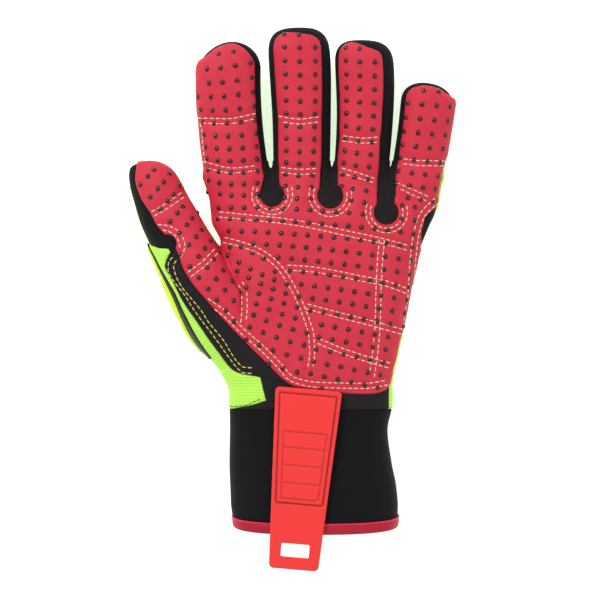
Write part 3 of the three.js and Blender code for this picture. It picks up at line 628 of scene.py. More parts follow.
def leather_inside(points, lean):
    """Above 0 on the red leather of the palm, the fingers' fronts and the thumb, in millimetres.

    On the palm it is the least of the distances inside the outline, above the side's slope and inside the
    thumb's tip. The fingers' fronts are added by the greater distance, and the holes are cut out.
    """
    plan = points[:, :2]
    red = np.minimum(inside_outline(plan, RED_OUTLINE), (lean + 0.3) * FRONT_SLOPE)
    side = (lean - read(PALM_SIDE, "slope", points[:, 1] / HAND_LENGTH)) * SIDE_SLOPE
    red = np.minimum(red, side + 30 * (1 - smoothstep(ROW_SHIFT, ROW_SHIFT + 25, points[:, 0])))
    flat, along, _, _ = in_plane(thumb, points)
    tip = -limb_field(thumb, flat) - mix(-3, thumb["tip"], smoothstep(0.85, 0.95, along))
    red = np.where((points[:, 0] < -55) & (along > 0.6), np.minimum(red, tip), red)
    for limb in limbs[:4]:
        red = np.maximum(red, finger_front(limb, points, lean))
    relief_edge = np.linalg.norm(plan - relief, axis=1) - RELIEF_RADIUS
    return np.minimum.reduce([red, -keyhole_inside(plan), relief_edge])


def keyhole_inside(plan):
    """Above 0 in the round hole or the neck of any keyhole."""
    rounds = [radius - np.linalg.norm(plan - centre, axis=1) for centre, radius, _ in keyholes]
    necks = [inside_outline(plan, neck) for _, _, neck in keyholes]
    return np.maximum.reduce(rounds + necks)


def seam_distance(plan):
    """The distance in plan to the nearest seam."""
    return np.minimum.reduce([line_distance(plan, line, 9.0) for line in seams.values()])


def ripples(points, size, seed):
    """Uneven waves about size long and 1 high: the sum of 18 sines, each along a direction of its own."""
    random = np.random.default_rng(seed)
    total = np.zeros(len(points))
    for _ in range(18):
        way = random.normal(size=3)
        way *= 2 * np.pi / (size * random.uniform(0.7, 1.6)) / np.linalg.norm(way)
        total += np.sin(points @ way + random.uniform(0, 7))
    return total / 4


def rolled(edge, width):
    """A quarter circle, 0 at an edge and 1 from width on: the root of 1 less the square of the share left."""
    return np.sqrt(1 - (1 - np.clip(edge / width, 0, 1)) ** 2)


def bell(distance, width):
    """1 on a line and less beside it: e to the power of minus the square of distance over width."""
    return np.exp(-((distance / width) ** 2))


LEATHER = 1.2
LEATHER_ROLL = 1.1  # how wide the rolled edge is
QUILT = 1.0  # how much a quilted field stands above its seams
SEAM_HALF = 0.8  # half the width of the leather that a seam holds down
QUILT_RISE = 2.6  # how far from the seam the field comes up
EDGE_FLAT = 0.6  # the share of the quilt that is missing at the leather's edge
EDGE_FADE = 4.0  # how far from the edge it comes back
FOLD_DEPTH = 1.6
FOLD_WIDTH = 1.8


def leather_height(points, lean, edge):
    """How far the leather's face stands off the form.

    It is the thickness with a rolled edge, plus the padded fields, which rise from each seam as 1 less a bell
    curve and are flatter at the edge, plus ripples, less a bell curve across the fold beside the thumb.
    """
    plan = points[:, :2]
    apart = np.maximum(seam_distance(plan) - SEAM_HALF, 0)
    level = smoothstep(-0.1, 0.6, lean)
    pad = QUILT * (1 - bell(apart, QUILT_RISE)) * (1 - EDGE_FLAT * bell(edge, EDGE_FADE))
    fold = FOLD_DEPTH * bell(line_distance(plan, curve(WEB_FOLD), 9.0), FOLD_WIDTH)
    uneven = 0.13 * ripples(points, 13.0, 3) + 0.03 * ripples(points, 5.0, 4)
    thick = LEATHER * rolled(edge, LEATHER_ROLL) * mix(0.45, 1, smoothstep(0, 0.5, lean))
    return CLEARANCE + thick + level * (pad + uneven - fold)


def sewn(points, faces, inside, height, sink=0.8):
    """A layer cut out of the form's surface where inside() is above 0 and raised by height().

    Its rim goes down to sink below the surface.
    """
    points, faces = clip(points, faces, inside(points, facing(points)[:, 2]))
    normal = facing(points)
    edge = np.maximum(inside(points, normal[:, 2]), 0)
    raised = points + height(points, normal[:, 2], edge)[:, None] * normal
    return with_rim(raised, faces, points - sink * normal)


# Making pieces


def piece(name, points, faces, material, slot, *replaced, attribute=None):
    """An object of the glove: its mesh goes to the row frame in metres and rides on the glove's one body."""
    mesh = bpy.data.meshes.new(name)
    corners = faces.shape[1]
    mesh.vertices.add(len(points))
    mesh.vertices.foreach_set("co", ((points + WRIST_SEAM) * MM).astype(np.float32).ravel())
    mesh.loops.add(faces.size)
    mesh.loops.foreach_set("vertex_index", faces.astype(np.int32).ravel())
    mesh.polygons.add(len(faces))
    mesh.polygons.foreach_set("loop_start", np.arange(0, faces.size, corners, dtype=np.int32))
    mesh.update(calc_edges=True)
    mesh.polygons.foreach_set("use_smooth", np.ones(len(faces), bool))
    if attribute is not None:
        mesh.attributes.new("mark", "FLOAT", "POINT").data.foreach_set("value", attribute.astype(np.float32))
    mesh.materials.append(material)
    made = bpy.data.objects.new(name, mesh)
    bpy.context.scene.collection.objects.link(made)
    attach(made, "root")
    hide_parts(*replaced)


# Materials


def color(code):
    """An sRGB hex code as linear RGBA."""
    value = np.array([int(code[i : i + 2], 16) for i in (1, 3, 5)]) / 255
    linear = np.where(value <= 0.04045, value / 12.92, ((value + 0.055) / 1.055) ** 2.4)
    return (*linear.tolist(), 1.0)


def add(tree, kind, settings, sockets):
    """Adds a shader node with its settings. A socket takes a constant, or another node's output as a link."""
    node = tree.nodes.new("ShaderNode" + kind)
    for key, value in settings.items():
        setattr(node, key, value)
    for key, value in sockets.items():
        if isinstance(value, bpy.types.NodeSocket):
            tree.links.new(value, node.inputs[key])
        else:
            node.inputs[key].default_value = value
    return node


def new_material(name):
    """A material with nothing in it, its place in millimetres, and a function that ends it."""
    material = bpy.data.materials.new(name)
    material.use_nodes = True
    tree = material.node_tree
    tree.nodes.clear()
    place = add(tree, "TexCoord", {}, {}).outputs["Object"]
    scale = add(tree, "VectorMath", {"operation": "SCALE"}, {0: place, "Scale": 1 / MM}).outputs[0]

    def finish(height, depth, **surface):
        """Adds the surface, with a relief of that depth in millimetres where height goes from 0 to 1."""
        named = {key.replace("_", " "): value for key, value in surface.items()}
        bump = add(tree, "Bump", {}, {"Height": height, "Distance": depth * MM, "Strength": 1.0})
        shader = add(tree, "BsdfPrincipled", {}, {**named, "Normal": bump.outputs[0]})
        add(tree, "OutputMaterial", {}, {"Surface": shader.outputs[0]})
        return material

    return tree, scale, finish


PEBBLE = 0.7  # the leather's grain, from one pebble to the next
LEATHER_CLOUD = 9.0
FINE_GRAIN = 0.25
RUBBER_GRAIN = 0.4
RUBBER_CLOUD = 14.0
THUMB_KNIT_X = -32.0  # left of this the bright knit's ribs follow the thumb
THUMB_KNIT_TURN = -0.49  # by this angle


def make_leather():
    """Microfibre leather: matt and soft, with a pressed pebble grain and faintly cloudy dye."""
    tree, place, finish = new_material("red gripping leather")
    pebbles = add(tree, "TexVoronoi", {"feature": "F1"}, {"Vector": place, "Scale": 1 / PEBBLE})
    cloud = add(tree, "TexNoise", {}, {"Vector": place, "Scale": 1 / LEATHER_CLOUD, "Detail": 2.0})
    fine = add(tree, "TexNoise", {}, {"Vector": place, "Scale": 1 / FINE_GRAIN, "Detail": 2.0})
    shades = {0: cloud.outputs["Fac"], 6: color("#c4283c"), 7: color("#d63447")}
    tint = add(tree, "Mix", {"data_type": "RGBA"}, shades).outputs[2]
    heights = {0: pebbles.outputs["Distance"], 1: fine.outputs["Fac"]}
    grain = add(tree, "Math", {"operation": "ADD"}, heights).outputs[0]
    return finish(grain, 0.05, Base_Color=tint, Roughness=0.6, Specular_IOR_Level=0.25)


def make_knit(name, dark, light, ridge, depth, direction, roughness=0.85, turned=False):
    """Knitted cloth: straight wales, ridge millimetres apart, crossed by finer courses, each a sine wave.

    The colour has painted light on the loops' tops and painted shade in the furrows. turned follows the thumb
    beyond the thumb's seam.
    """
    tree, place, finish = new_material(name)
    if turned:
        x = add(tree, "SeparateXYZ", {}, {0: place}).outputs["X"]
        beyond = add(tree, "Math", {"operation": "LESS_THAN"}, {0: x, 1: THUMB_KNIT_X}).outputs[0]
        turn = {"Vector": place, "Angle": THUMB_KNIT_TURN}
        along_thumb = add(tree, "VectorRotate", {"rotation_type": "Z_AXIS"}, turn).outputs[0]
        place = add(tree, "Mix", {"data_type": "VECTOR"}, {0: beyond, 4: place, 5: along_thumb}).outputs[1]
    ribs = []
    other = "Y" if direction == "X" else "X"
    for size, way, distortion in ((ridge, direction, 0.0), (ridge * 0.6, other, 0.4)):
        look = {"wave_type": "BANDS", "bands_direction": way, "wave_profile": "SIN"}
        sockets = {"Vector": place, "Scale": np.pi / 10 / size, "Distortion": distortion, "Detail": 1.0}
        ribs.append(add(tree, "TexWave", look, sockets).outputs["Fac"])
    courses = add(tree, "Math", {"operation": "MULTIPLY"}, {0: ribs[1], 1: 0.4}).outputs[0]
    relief = add(tree, "Math", {"operation": "MULTIPLY_ADD"}, {0: ribs[0], 1: 0.8, 2: courses}).outputs[0]
    # Painted light and shade: the colour goes from dark in the furrows to light on the loops' tops, by the
    # relief
    shade = add(tree, "Math", {"operation": "MULTIPLY"}, {0: relief, 1: 0.85}).outputs[0]
    tint = add(tree, "Mix", {"data_type": "RGBA"}, {0: shade, 6: color(dark), 7: color(light)}).outputs[2]
    return finish(
        relief, depth, Base_Color=tint, Roughness=roughness, Sheen_Weight=0.03, Specular_IOR_Level=0.08
    )


def make_rubber(name, code, roughness, grain=0.02, marked=None, gloss=0.3):
    """Moulded rubber, woven tape or thread, with a faint eggshell grain.

    marked is the colour where the mesh's mark is 1. Without it the colour is a little cloudy.
    """
    tree, place, finish = new_material(name)
    fine = add(tree, "TexNoise", {}, {"Vector": place, "Scale": 1 / RUBBER_GRAIN, "Detail": 2.0})
    if marked is None:
        share = add(tree, "TexNoise", {}, {"Vector": place, "Scale": 1 / RUBBER_CLOUD, "Detail": 2.0})
        pair = {6: [c * 0.88 for c in color(code)[:3]] + [1.0], 7: color(code)}
    else:
        share = add(tree, "Attribute", {"attribute_name": "mark"}, {})
        pair = {6: color(code), 7: color(marked)}
    tint = add(tree, "Mix", {"data_type": "RGBA"}, {0: share.outputs["Fac"], **pair}).outputs[2]
    return finish(fine.outputs["Fac"], grain, Base_Color=tint, Roughness=roughness, Specular_IOR_Level=gloss)


leather = make_leather()
# Nylon and elastane jersey: near black, with fine upright wales and almost no shine
black_knit = make_knit("black stretch knit", "#121113", "#201f21", 0.7, 0.05, "X")
# Woven nylon strip: a little lighter and tighter, with level ribs
strip_knit = make_knit("black side strip", "#1a1819", "#2a2827", 0.9, 0.04, "Y", 0.75)
# Ribbed polyester in a fluorescent yellow green: coarse level ribs, with painted light and shade as light and
# dark bands
bright_knit = make_knit("bright ribbed knit", "#a4e83a", "#ccff78", 1.6, 0.14, "Y", 0.8, turned=True)
# Foam rubber faced with fine jersey: smooth and black, its weave drawn as coarse as it needs to show
neoprene = make_knit("neoprene with a jersey face", "#101012", "#19191b", 0.35, 0.015, "X", 0.75)
# Thin stretch knit: a little browner than the hand's
gusset_knit = make_knit("black stretch gusset", "#191717", "#262323", 0.45, 0.03, "Y", 0.7)
# Woven polyester binding: crimson, with painted light along the rim at its edge
tape = make_rubber("crimson tape", "#ac1230", 0.55, 0.05, "#dc2448")
# Bonded polyester threads: dull, in ivory, yellow and dark green
thread = make_rubber("ivory thread", "#e6dcbe", 0.6, 0.05)
bright_thread = make_rubber("yellow thread", "#dcd66e", 0.6, 0.05)
green_thread = make_rubber("dark green thread", "#3c7a28", 0.6, 0.05)
# Printed silicone: dark and wet looking, with a small bright highlight on each dot
dot_rubber = make_rubber("dark silicone dots", "#380b12", 0.2, gloss=0.55)
# Moulded soft rubber: bright red and satin, with painted shade in its grooves
tab_rubber = make_rubber("red tab rubber", "#f03836", 0.45, 0.02, "#7c1016")
# Moulded thermoplastic rubber: satin black, with bright yellow moulded into its grooves
guard_rubber = make_rubber("black and bright yellow guard rubber", "#1c1c1d", 0.5, 0.02, "#d2fa30")


# Boxes that hold parts of the form: the lowest corner, the highest corner and the cell to mesh it with

WHOLE_BOX = ((-106, -6, 2), (96, 214, 64), 1.5)
FRONT_BOX = ((-106, -3, 15), (96, 214, 64), 0.65)
BACK_BOX = ((-106, -3, 2), (96, 214, 64), 1.0)
KNUCKLES_BOX = ((-80, 40, 2), (96, 214, 26), 0.5)
THUMB_BOX = ((-106, 8, 6), (-30, 130, 44), 0.6)

# Black knitted body: the form's own surface, and the same inside it for the wall's other face

body_points, body_faces = surface_net(*WHOLE_BOX)
body_points, body_faces = clip(body_points, body_faces, body_points[:, 1])
inner_points = body_points - SHELL_WALL * facing(body_points)
piece(
    "knit_body",
    np.concatenate([body_points, inner_points]),
    np.concatenate([body_faces, body_faces[:, ::-1] + len(body_points)]),
    black_knit,
    "black_knit",
    "hand_shell",
    *[f"{limb['name']}_sleeve" for limb in limbs],
)

# Red leather of the palm and of the thumb, which meet at the crease

front = surface_net(*FRONT_BOX)


def palm_inside(points, lean):
    """Above 0 on the red leather outside the crease."""
    return np.minimum(leather_inside(points, lean), -inside_outline(points[:, :2], THUMB_SIDE))


def thumb_inside(points, lean):
    """Above 0 on the red leather inside the crease."""
    return np.minimum(leather_inside(points, lean), inside_outline(points[:, :2], THUMB_SIDE))


def whole_edge(points, lean, _):
    """The leather's height by the distance to its outer edge alone, so that the crease has no rolled edge."""
    return leather_height(points, lean, np.maximum(leather_inside(points, lean), 0))


piece("palm_leather", *sewn(*front, palm_inside, whole_edge), leather, "red_leather", "palm_panel")
piece("thumb_leather", *sewn(*front, thumb_inside, whole_edge), leather, "red_leather", "thumb_panel")

# Black strip at the thumb's side and black band at the wrist

STRIP_LOW = 12.0  # the strip goes down to here above the back
BAND_LEFT = -0.36 * half_row
BAND_OUTLINE = np.array([
    (-41, 0.3), (90, 0.3), (90, 16), (0, 18), (-27, 18.5), (BAND_LEFT - 0.3, 4.9), (-31, 2.3)
])


def strip_inside(points, lean):
    """Above 0 inside the strip's outline in plan and above its lowest height."""
    return np.minimum(inside_outline(points[:, :2], SIDE_OUTLINE), points[:, 2] - LIFT - STRIP_LOW)


def band_inside(points, lean):
    """Above 0 inside the band's outline in plan, on the side that faces up."""
    return np.minimum(inside_outline(points[:, :2], BAND_OUTLINE), (lean - 0.1) * SIDE_SLOPE)


def thin_layer(thickness):
    """The height of a thin cloth: its thickness with a rolled edge, plus ripples."""

    def height(points, lean, edge):
        return 0.2 + thickness * rolled(edge, 0.7) + 0.05 * ripples(points, 12.0, 8)

    return height


piece("side_strip", *sewn(*front, strip_inside, thin_layer(1.0)), strip_knit, "black_knit", "side_panel")
piece("wrist_band", *sewn(*front, band_inside, thin_layer(0.7)), strip_knit, "black_knit", "wrist_band")

# Bright knit of the back, round the thumb's side and the little finger's side

THUMB_TOP = [
    (-120, 97), (-90, 93), (-87.9, 90.9), (-85.4, 88.1), (-81.1, 86.6), (-75.8, 86.2), (-74.6, 84.6),
    (-76.7, 80.4)
]
THUMB_BACK = np.concatenate([
    curve(SIDE_EDGE)[6:], [(BAND_LEFT, 5.2), (-31, 2.6), (-42, 0.3), (-120, 0.3)], THUMB_TOP
])
# The highest slope that the back's knit covers at the little finger's side, where it comes round in a sliver
BACK_SIDE = table(
    "along slope", (0, 0.6), (0.27, 0.55), (0.36, -0.25), (0.84, -0.3), (0.9, 0.3), (1.08, 0.3), (1.2, -0.5)
)


def back_inside(points, lean):
    """Above 0 on the bright knit.

    That is where the back's slope is under a limit, inside the outline at the thumb's side, or on a strip of
    each finger's back.
    """
    along = points[:, 1] / HAND_LENGTH
    slope = np.where(points[:, 0] > ROW_SHIFT, read(BACK_SIDE, "slope", along), -0.15)
    end = HAND_LENGTH - 4 - points[:, 1] + 60 * (points[:, 0] > 60)
    back = np.minimum((slope - lean) * SIDE_SLOPE, end)
    back = np.maximum(back, np.minimum(inside_outline(points[:, :2], THUMB_BACK), 6.0))
    for limb in limbs[:4]:
        place, across, up, half, _ = limb_place(limb, points)
        finger = np.minimum((0.92 - np.abs(across) / half) * half, -2 - up)
        tip = (0.93 - place) * limb["length"]
        back = np.maximum(back, np.minimum.reduce([finger, tip, (-lean - 0.35) * SIDE_SLOPE]))
    return np.minimum(back, points[:, 1] - 0.3)


back_form = surface_net(*BACK_BOX)
back_layer = sewn(*back_form, back_inside, thin_layer(0.8))
piece("bright_back", *back_layer, bright_knit, "bright_knit", "back_panel")

# Black gussets in the keyholes, with the small creases of their stretched cloth

GUSSET_CREASES = [
    [(-24.9, 112.9), (-21.6, 114.2), (-17.3, 115), (-13.3, 116.4)],
    [(-19.4, 122.6), (-19.2, 119.9), (-20.3, 117.7)],
    [(-22.7, 119.9), (-21, 118)],
    [(4.1, 116.6), (8.1, 116.3), (13, 115.3), (17.4, 113.2)],
    [(11.3, 123.7), (11.3, 119.3), (9.2, 117.5)],
    [(11.3, 119.3), (13.5, 117.7)],
    [(40.8, 114), (40.5, 109.9), (37.8, 107.5)],
    [(40.5, 109.9), (43.2, 108.3)],
]
GUSSET_LAP = 0.9  # how far the gusset goes on under the leather
CREASE_WIDTH = 0.55
CREASE_DEPTH = 0.5


def gusset_inside(points, lean):
    """Above 0 in the keyholes and a little past them."""
    return keyhole_inside(points[:, :2]) + GUSSET_LAP


def gusset_height(points, lean, edge):
    """A thin cloth with ripples, less a bell curve across each crease."""
    creases = [line_distance(points[:, :2], curve(line, 0.8), 4.0) for line in GUSSET_CREASES]
    pressed = CREASE_DEPTH * bell(np.minimum.reduce(creases), CREASE_WIDTH)
    return 0.4 * rolled(edge, 0.5) + 0.12 * ripples(points, 8.0, 5) - pressed


piece("gussets", *sewn(*front, gusset_inside, gusset_height), gusset_knit, "black_knit")

# Guards of the back: a thin web, and pads with rounded edges that stand up from it

GUARD_BASE = 1.6  # the foot of the web above the form, over the bright knit
WEB = 1.4  # heights above that
FINGER_PAD = 3.6
KNUCKLE_PAD = 6.8
GROOVE_AT = 2.6  # from a pad's edge to the groove that runs round inside it
GROOVE_WIDTH = 0.5
GROOVE_DEPTH = 0.7
PAD_ROLL = 1.5
WEB_TOP = 19.8  # the highest that the web reaches up the hand's side
# Pads of each finger: start, end and width as shares of its length and half width. The knuckles' pads also
# have a share of the height.
FINGER_PADS = ((0.14, 0.4, 0.52), (0.46, 0.64, 0.5), (0.7, 0.88, 0.44))
KNUCKLE_PADS = ((-0.36, -0.06, 0.72, 1), (-0.8, -0.43, 0.36, 0.62))
KNUCKLE_WEB = curve([
    (-45, 119), (-44, 88), (-42, 67), (-38, 59), (-30, 56), (-8, 57), (18, 62), (40, 70), (51, 78), (55, 90),
    (58, 119)
])


def corner(a, b, radius=1.8):
    """The distance inside two edges that meet in a round corner: the radius less the way from its middle."""
    near = np.hypot(np.minimum(a - radius, 0), np.minimum(b - radius, 0))
    return np.where((a < radius) & (b < radius), radius - near, np.minimum(a, b))


def bar(limb, points, start, end, share):
    """Above 0 inside a rounded length of a limb's back, as a distance from its edge."""
    along, across, up, half, _ = limb_place(limb, points)
    reach = np.minimum(along - start, end - along) * limb["length"]
    return np.minimum(corner(reach, share * half - np.abs(across)), -2 - up)


def pads(points):
    """Each pad of the back as its edge distance and its height."""
    for limb in limbs[:4]:
        for start, end, share in FINGER_PADS:
            yield bar(limb, points, start, end, share), FINGER_PAD
        for start, end, share, height in KNUCKLE_PADS:
            yield bar(limb, points, start, end, share), KNUCKLE_PAD * height


def guard_inside(points, lean):
    """Above 0 in the knuckles' web, in a strip along each finger or in any pad."""
    web = np.minimum(inside_outline(points[:, :2], KNUCKLE_WEB), WEB_TOP - points[:, 2])
    strips = [bar(limb, points, 0.11, 0.91, 0.62) for limb in limbs[:4]]
    return np.maximum.reduce([web, *strips, *[edge for edge, _ in pads(points)]])


def guard_height(points, lean, edge):
    """The web's height, or each pad's with a rolled edge, less a bell curve across its groove."""
    height = WEB * rolled(edge, 0.6)
    for inside, full in pads(points):
        groove = GROOVE_DEPTH * bell(inside - GROOVE_AT, GROOVE_WIDTH)
        height = np.maximum(height, (full - groove) * rolled(np.maximum(inside, 0), PAD_ROLL))
    return GUARD_BASE + height


def guard_mark(points):
    """1 in the groove that runs round inside each pad."""
    return np.maximum.reduce([smoothstep(0.95, 0.45, np.abs(edge - GROOVE_AT)) for edge, _ in pads(points)])


guards, guard_faces = sewn(*surface_net(*KNUCKLES_BOX), guard_inside, guard_height, 0.4)
guards[:, 2] = np.maximum(guards[:, 2], 0)
piece(
    "back_guards",
    guards,
    guard_faces,
    guard_rubber,
    "black_rubber",
    "knuckle_guard",
    *[f"{limb['name']}_guard" for limb in limbs[:4]],
    attribute=guard_mark(guards),
)

# Guard of the thumb's outer side: a black web, and a bright yellow layer with three pads on it

THUMB_BASE = 0.7  # the foot of both layers above the form
THUMB_WEB = 0.9  # heights above that
THUMB_LAYER = 1.2
THUMB_PAD = 0.7  # above the layer
THUMB_ROLL = 0.8
THUMB_LOW = 11.0  # how far the guard reaches below the thumb's middle line
THUMB_PADS = ((0.12, 0.285), (0.297, 0.5), (0.513, 0.655))
# How far the guard reaches above the thumb's middle line, for its pads and for its web
THUMB_REACH = table(
    "along pads web", (0.08, 2, 8), (0.22, 6.5, 11), (0.4, 9.5, 12), (0.565, 5.5, 7.5), (0.69, 0.5, 3)
)


def thumb_strip(points, start, end, part):
    """Above 0 on a rounded length of the thumb's outer side, between its lowest and its highest reach."""
    along, across, up, half, _ = limb_place(thumb, points)
    reach = np.minimum(along - start, end - along) * thumb["length"]
    high = read(THUMB_REACH, part, along) - up
    return corner(reach, np.minimum.reduce([-0.6 * half - across, up + THUMB_LOW, high]))


def thumb_web_inside(points, lean):
    """Above 0 in the black web."""
    return thumb_strip(points, 0.07, 0.675, "web")


def thumb_pads_inside(points, lean):
    """Above 0 in the yellow layer."""
    return thumb_strip(points, 0.1, 0.66, "pads")


def thumb_web_height(points, lean, edge):
    """The web's thickness with a rolled edge."""
    return THUMB_BASE + THUMB_WEB * rolled(edge, THUMB_ROLL)


def thumb_pads_height(points, lean, edge):
    """The layer's thickness with a rolled edge, and each pad's on top of it."""
    raised_pads = [rolled(np.maximum(thumb_strip(points, *pad, "pads"), 0), 1.2) for pad in THUMB_PADS]
    return THUMB_BASE + THUMB_LAYER * rolled(edge, THUMB_ROLL) + THUMB_PAD * np.maximum.reduce(raised_pads)


thumb_side = surface_net(*THUMB_BOX)
web, web_faces = sewn(*thumb_side, thumb_web_inside, thumb_web_height, 0.4)
yellow, yellow_faces = sewn(*thumb_side, thumb_pads_inside, thumb_pads_height, 0.4)
piece(
    "thumb_guard_web",
    np.concatenate([web, yellow]),
    np.concatenate([web_faces, yellow_faces + len(web)]),
    guard_rubber,
    "black_rubber",
    "thumb_guard",
    attribute=np.concatenate([np.zeros(len(web)), np.ones(len(yellow))]),
)

# Neoprene cuff and the tape that binds its hem

AROUND = 260  # points round the cuff
CUFF_FOLD = 0.55  # height of the cuff's soft bulges
HALF_SECTION = (44, 21)  # of the cuff, for even steps round it


def even_turns(count):
    """Evenly spaced points of the cuff's section in shares of its half width and half height.

    The section is a superellipse: the cosine and the sine of a turn, each raised to the power of 2 over its
    squareness with its sign kept.
    """
    angle = np.linspace(0, 2 * np.pi, 4001)
    c, s = [np.sign(v) * np.abs(v) ** (2 / HAND_SQUARENESS) for v in (np.cos(angle), np.sin(angle))]
    step = np.hypot(np.diff(c) * HALF_SECTION[0], np.diff(s) * HALF_SECTION[1])
    length = np.concatenate([[0], np.cumsum(step)])
    at = np.linspace(0, length[-1], count, endpoint=False)
    return np.interp(at, length, c), np.interp(at, length, s)


def cuff_rings(outward, from_hem, folds=0.0):
    """Rings of the cuff's form, one for each pair of a distance outwards and a distance from the hem.

    Its half sizes go from the hem's to the wrist's by the shares in the table, and its hem slants with the
    height. folds is how much it bulges in uneven waves that run up it.
    """
    c, s = even_turns(AROUND)
    outward, from_hem = np.array(outward)[:, None], np.array(from_hem)[:, None]
    along = from_hem / CUFF_LENGTH
    low = LIFT * read(CUFF, "low", along)
    deep = mix(WRIST_DEPTH, CUFF_DEPTH, read(CUFF, "depth", along)) / 2
    half = mix(WRIST_WIDTH, CUFF_WIDTH, read(CUFF, "width", along)) / 2
    z = low + deep + s * (deep + outward)
    y = from_hem - CUFF_LENGTH + HEM_SLANT * (1 - along) * (1 - (z - low) / (2 * deep))
    x = ROW_SHIFT * read(CUFF, "shift", along) + c * (half + outward)
    points = np.stack([x, y + 0 * x, z], -1)
    way = np.stack([c / half[0], 0 * c, s / deep[0]], -1)
    way = way / np.linalg.norm(way, axis=1, keepdims=True)
    bulge = ripples(points.reshape(-1, 3) * [1, 0.35, 1], 34.0, 21).reshape(x.shape)
    return points + (folds * bulge)[..., None] * way


def ring_mesh(rings):
    """A closed tube of quads through a closed row of rings."""
    rows, around = rings.shape[:2]
    number = np.arange(rows * around).reshape(rows, around)
    across, onward = np.roll(number, -1, 1), np.roll(number, -1, 0)
    faces = np.stack([number, across, np.roll(across, -1, 0), onward], -1).reshape(-1, 4)
    return rings.reshape(-1, 3), faces


def make_cuff():
    """The neoprene's wall: up its outer face, over its top edge and down its inner face."""
    up = np.linspace(0.8, CUFF_LENGTH - 0.5, 70)
    face = 0.5 * smoothstep(50, CUFF_LENGTH, up)
    outward = np.concatenate([[-0.6], face, [0.2, -1.0], -CUFF_WALL + 0 * up, [-CUFF_WALL + 0.6]])
    from_hem = np.concatenate([[0.2], up, [CUFF_LENGTH - 0.1, CUFF_LENGTH], up[::-1], [0.2]])
    ease = smoothstep(0, 6, from_hem) * smoothstep(CUFF_LENGTH, CUFF_LENGTH - 8, from_hem)
    return ring_mesh(cuff_rings(outward, from_hem, CUFF_FOLD * ease[:, None]))


piece("neoprene_cuff", *make_cuff(), neoprene, "neoprene", "cuff")

# The tape's section, as distances outwards and from the hem, with a rim along its top edge
TAPE = [
    (0.1, 3.3), (0.7, 3.5), (1.0, 3.3), (1.15, 2.9), (1.0, 2.5), (0.75, 2.3), (0.95, 2.0), (1.15, 1.5),
    (1.2, 0.2), (1.1, -1.2), (0.7, -2.1), (0.0, -2.6), (-1.5, -2.8), (-3, -2.7), (-4.1, -2.2), (-4.5, -1),
    (-4.5, 2.7), (-4.1, 3.3), (-3.3, 3.4), (-2.6, 2.2), (-0.6, 2.2), (0.1, 3.3),
]
tape_line = curve(TAPE, 0.28)[:-1][::-1]
tape_points, tape_faces = ring_mesh(cuff_rings(tape_line[:, 0], tape_line[:, 1]))
tape_points[:, 2] = np.maximum(tape_points[:, 2], 0)
# Painted light: the tape's outer rim gets the lighter colour where this is 1
painted_rim_light = np.repeat(smoothstep(2.45, 2.7, tape_line[:, 1]) * (tape_line[:, 0] > 0), AROUND)
piece("hem_tape", tape_points, tape_faces, tape, "crimson_tape", "hem_binding", attribute=painted_rim_light)

# Pull tab: a moulded plate with a raised frame, four cells and a slot. Its places are distances down it.

TAB_LENGTH = 94.5
TAB_SEWN = 1.4  # it goes on this far above its top, under the seam
TAB_TOP = 35.4  # widths
TAB_END = 26.2
TAB_CORNER = 2.4
TAB_PLATE = 2.4
TAB_ROLL = 0.6
TAB_RELIEF = 0.7
TAB_FRAME = (1.6, 59.8)
FRAME_MARGIN = 2.3
CELL_MARGIN = 5.1
TAB_CELLS = [21.8, 30.3, 39.6, 49, 57.4]
FRAME_GROOVE = 0.45  # widths and depths of the grooves round the frame and the cells
CELL_GROOVE = 0.4
CELL_DEPTH = 0.5
SLOT_HALF = (7.5, 3.6)
SLOT_AT = 84.5
TAB_STEP = 0.4
TAB_SEAT = np.array([-0.8, 10.2, 46.675])  # the middle of its top edge, over the wrist band
HEM_SEAT = 48.36  # how high it lies over the hem's tape
TAB_TURN = -4.9


def tab_edge(x, y, top, bottom, margin, radius):
    """The distance inside the tab's tapered outline between two distances down it."""
    half = mix(TAB_TOP, TAB_END, -y / TAB_LENGTH) / 2 - margin
    return corner(half - np.abs(x), np.minimum(-top - y, y + bottom), radius)


def plate_edge(x, y):
    """The distance inside the plate: inside its outline and outside its slot."""
    slot = corner(SLOT_HALF[0] - np.abs(x), SLOT_HALF[1] - np.abs(y + SLOT_AT), 0.8)
    return np.minimum(tab_edge(x, y, -TAB_SEWN, TAB_LENGTH, 0, TAB_CORNER), -slot)


def tab_face(x, y):
    """The height of the tab's face, and the painted shade in its grooves."""
    rim = np.maximum(plate_edge(x, y), 0)
    frame_edge = tab_edge(x, y, *TAB_FRAME, FRAME_MARGIN, 0.8)
    inner = tab_edge(x, y, TAB_CELLS[0], TAB_CELLS[-1], CELL_MARGIN, 0.5)
    rung = np.min([np.abs(y + at) for at in TAB_CELLS], axis=0)
    groove = np.minimum(bell(inner, CELL_GROOVE) + (inner > 0) * bell(rung, CELL_GROOVE), 1)
    height = TAB_PLATE - TAB_ROLL * (1 - rolled(rim, 0.8)) - FRAME_GROOVE * bell(frame_edge, FRAME_GROOVE)
    height += TAB_RELIEF * smoothstep(0.0, 0.9, frame_edge)
    # The second value is painted shade: 1 along the frame's groove, up to half as much in the cells' grooves
    return height - CELL_DEPTH * groove, np.maximum(bell(frame_edge, CELL_GROOVE), 0.5 * groove)


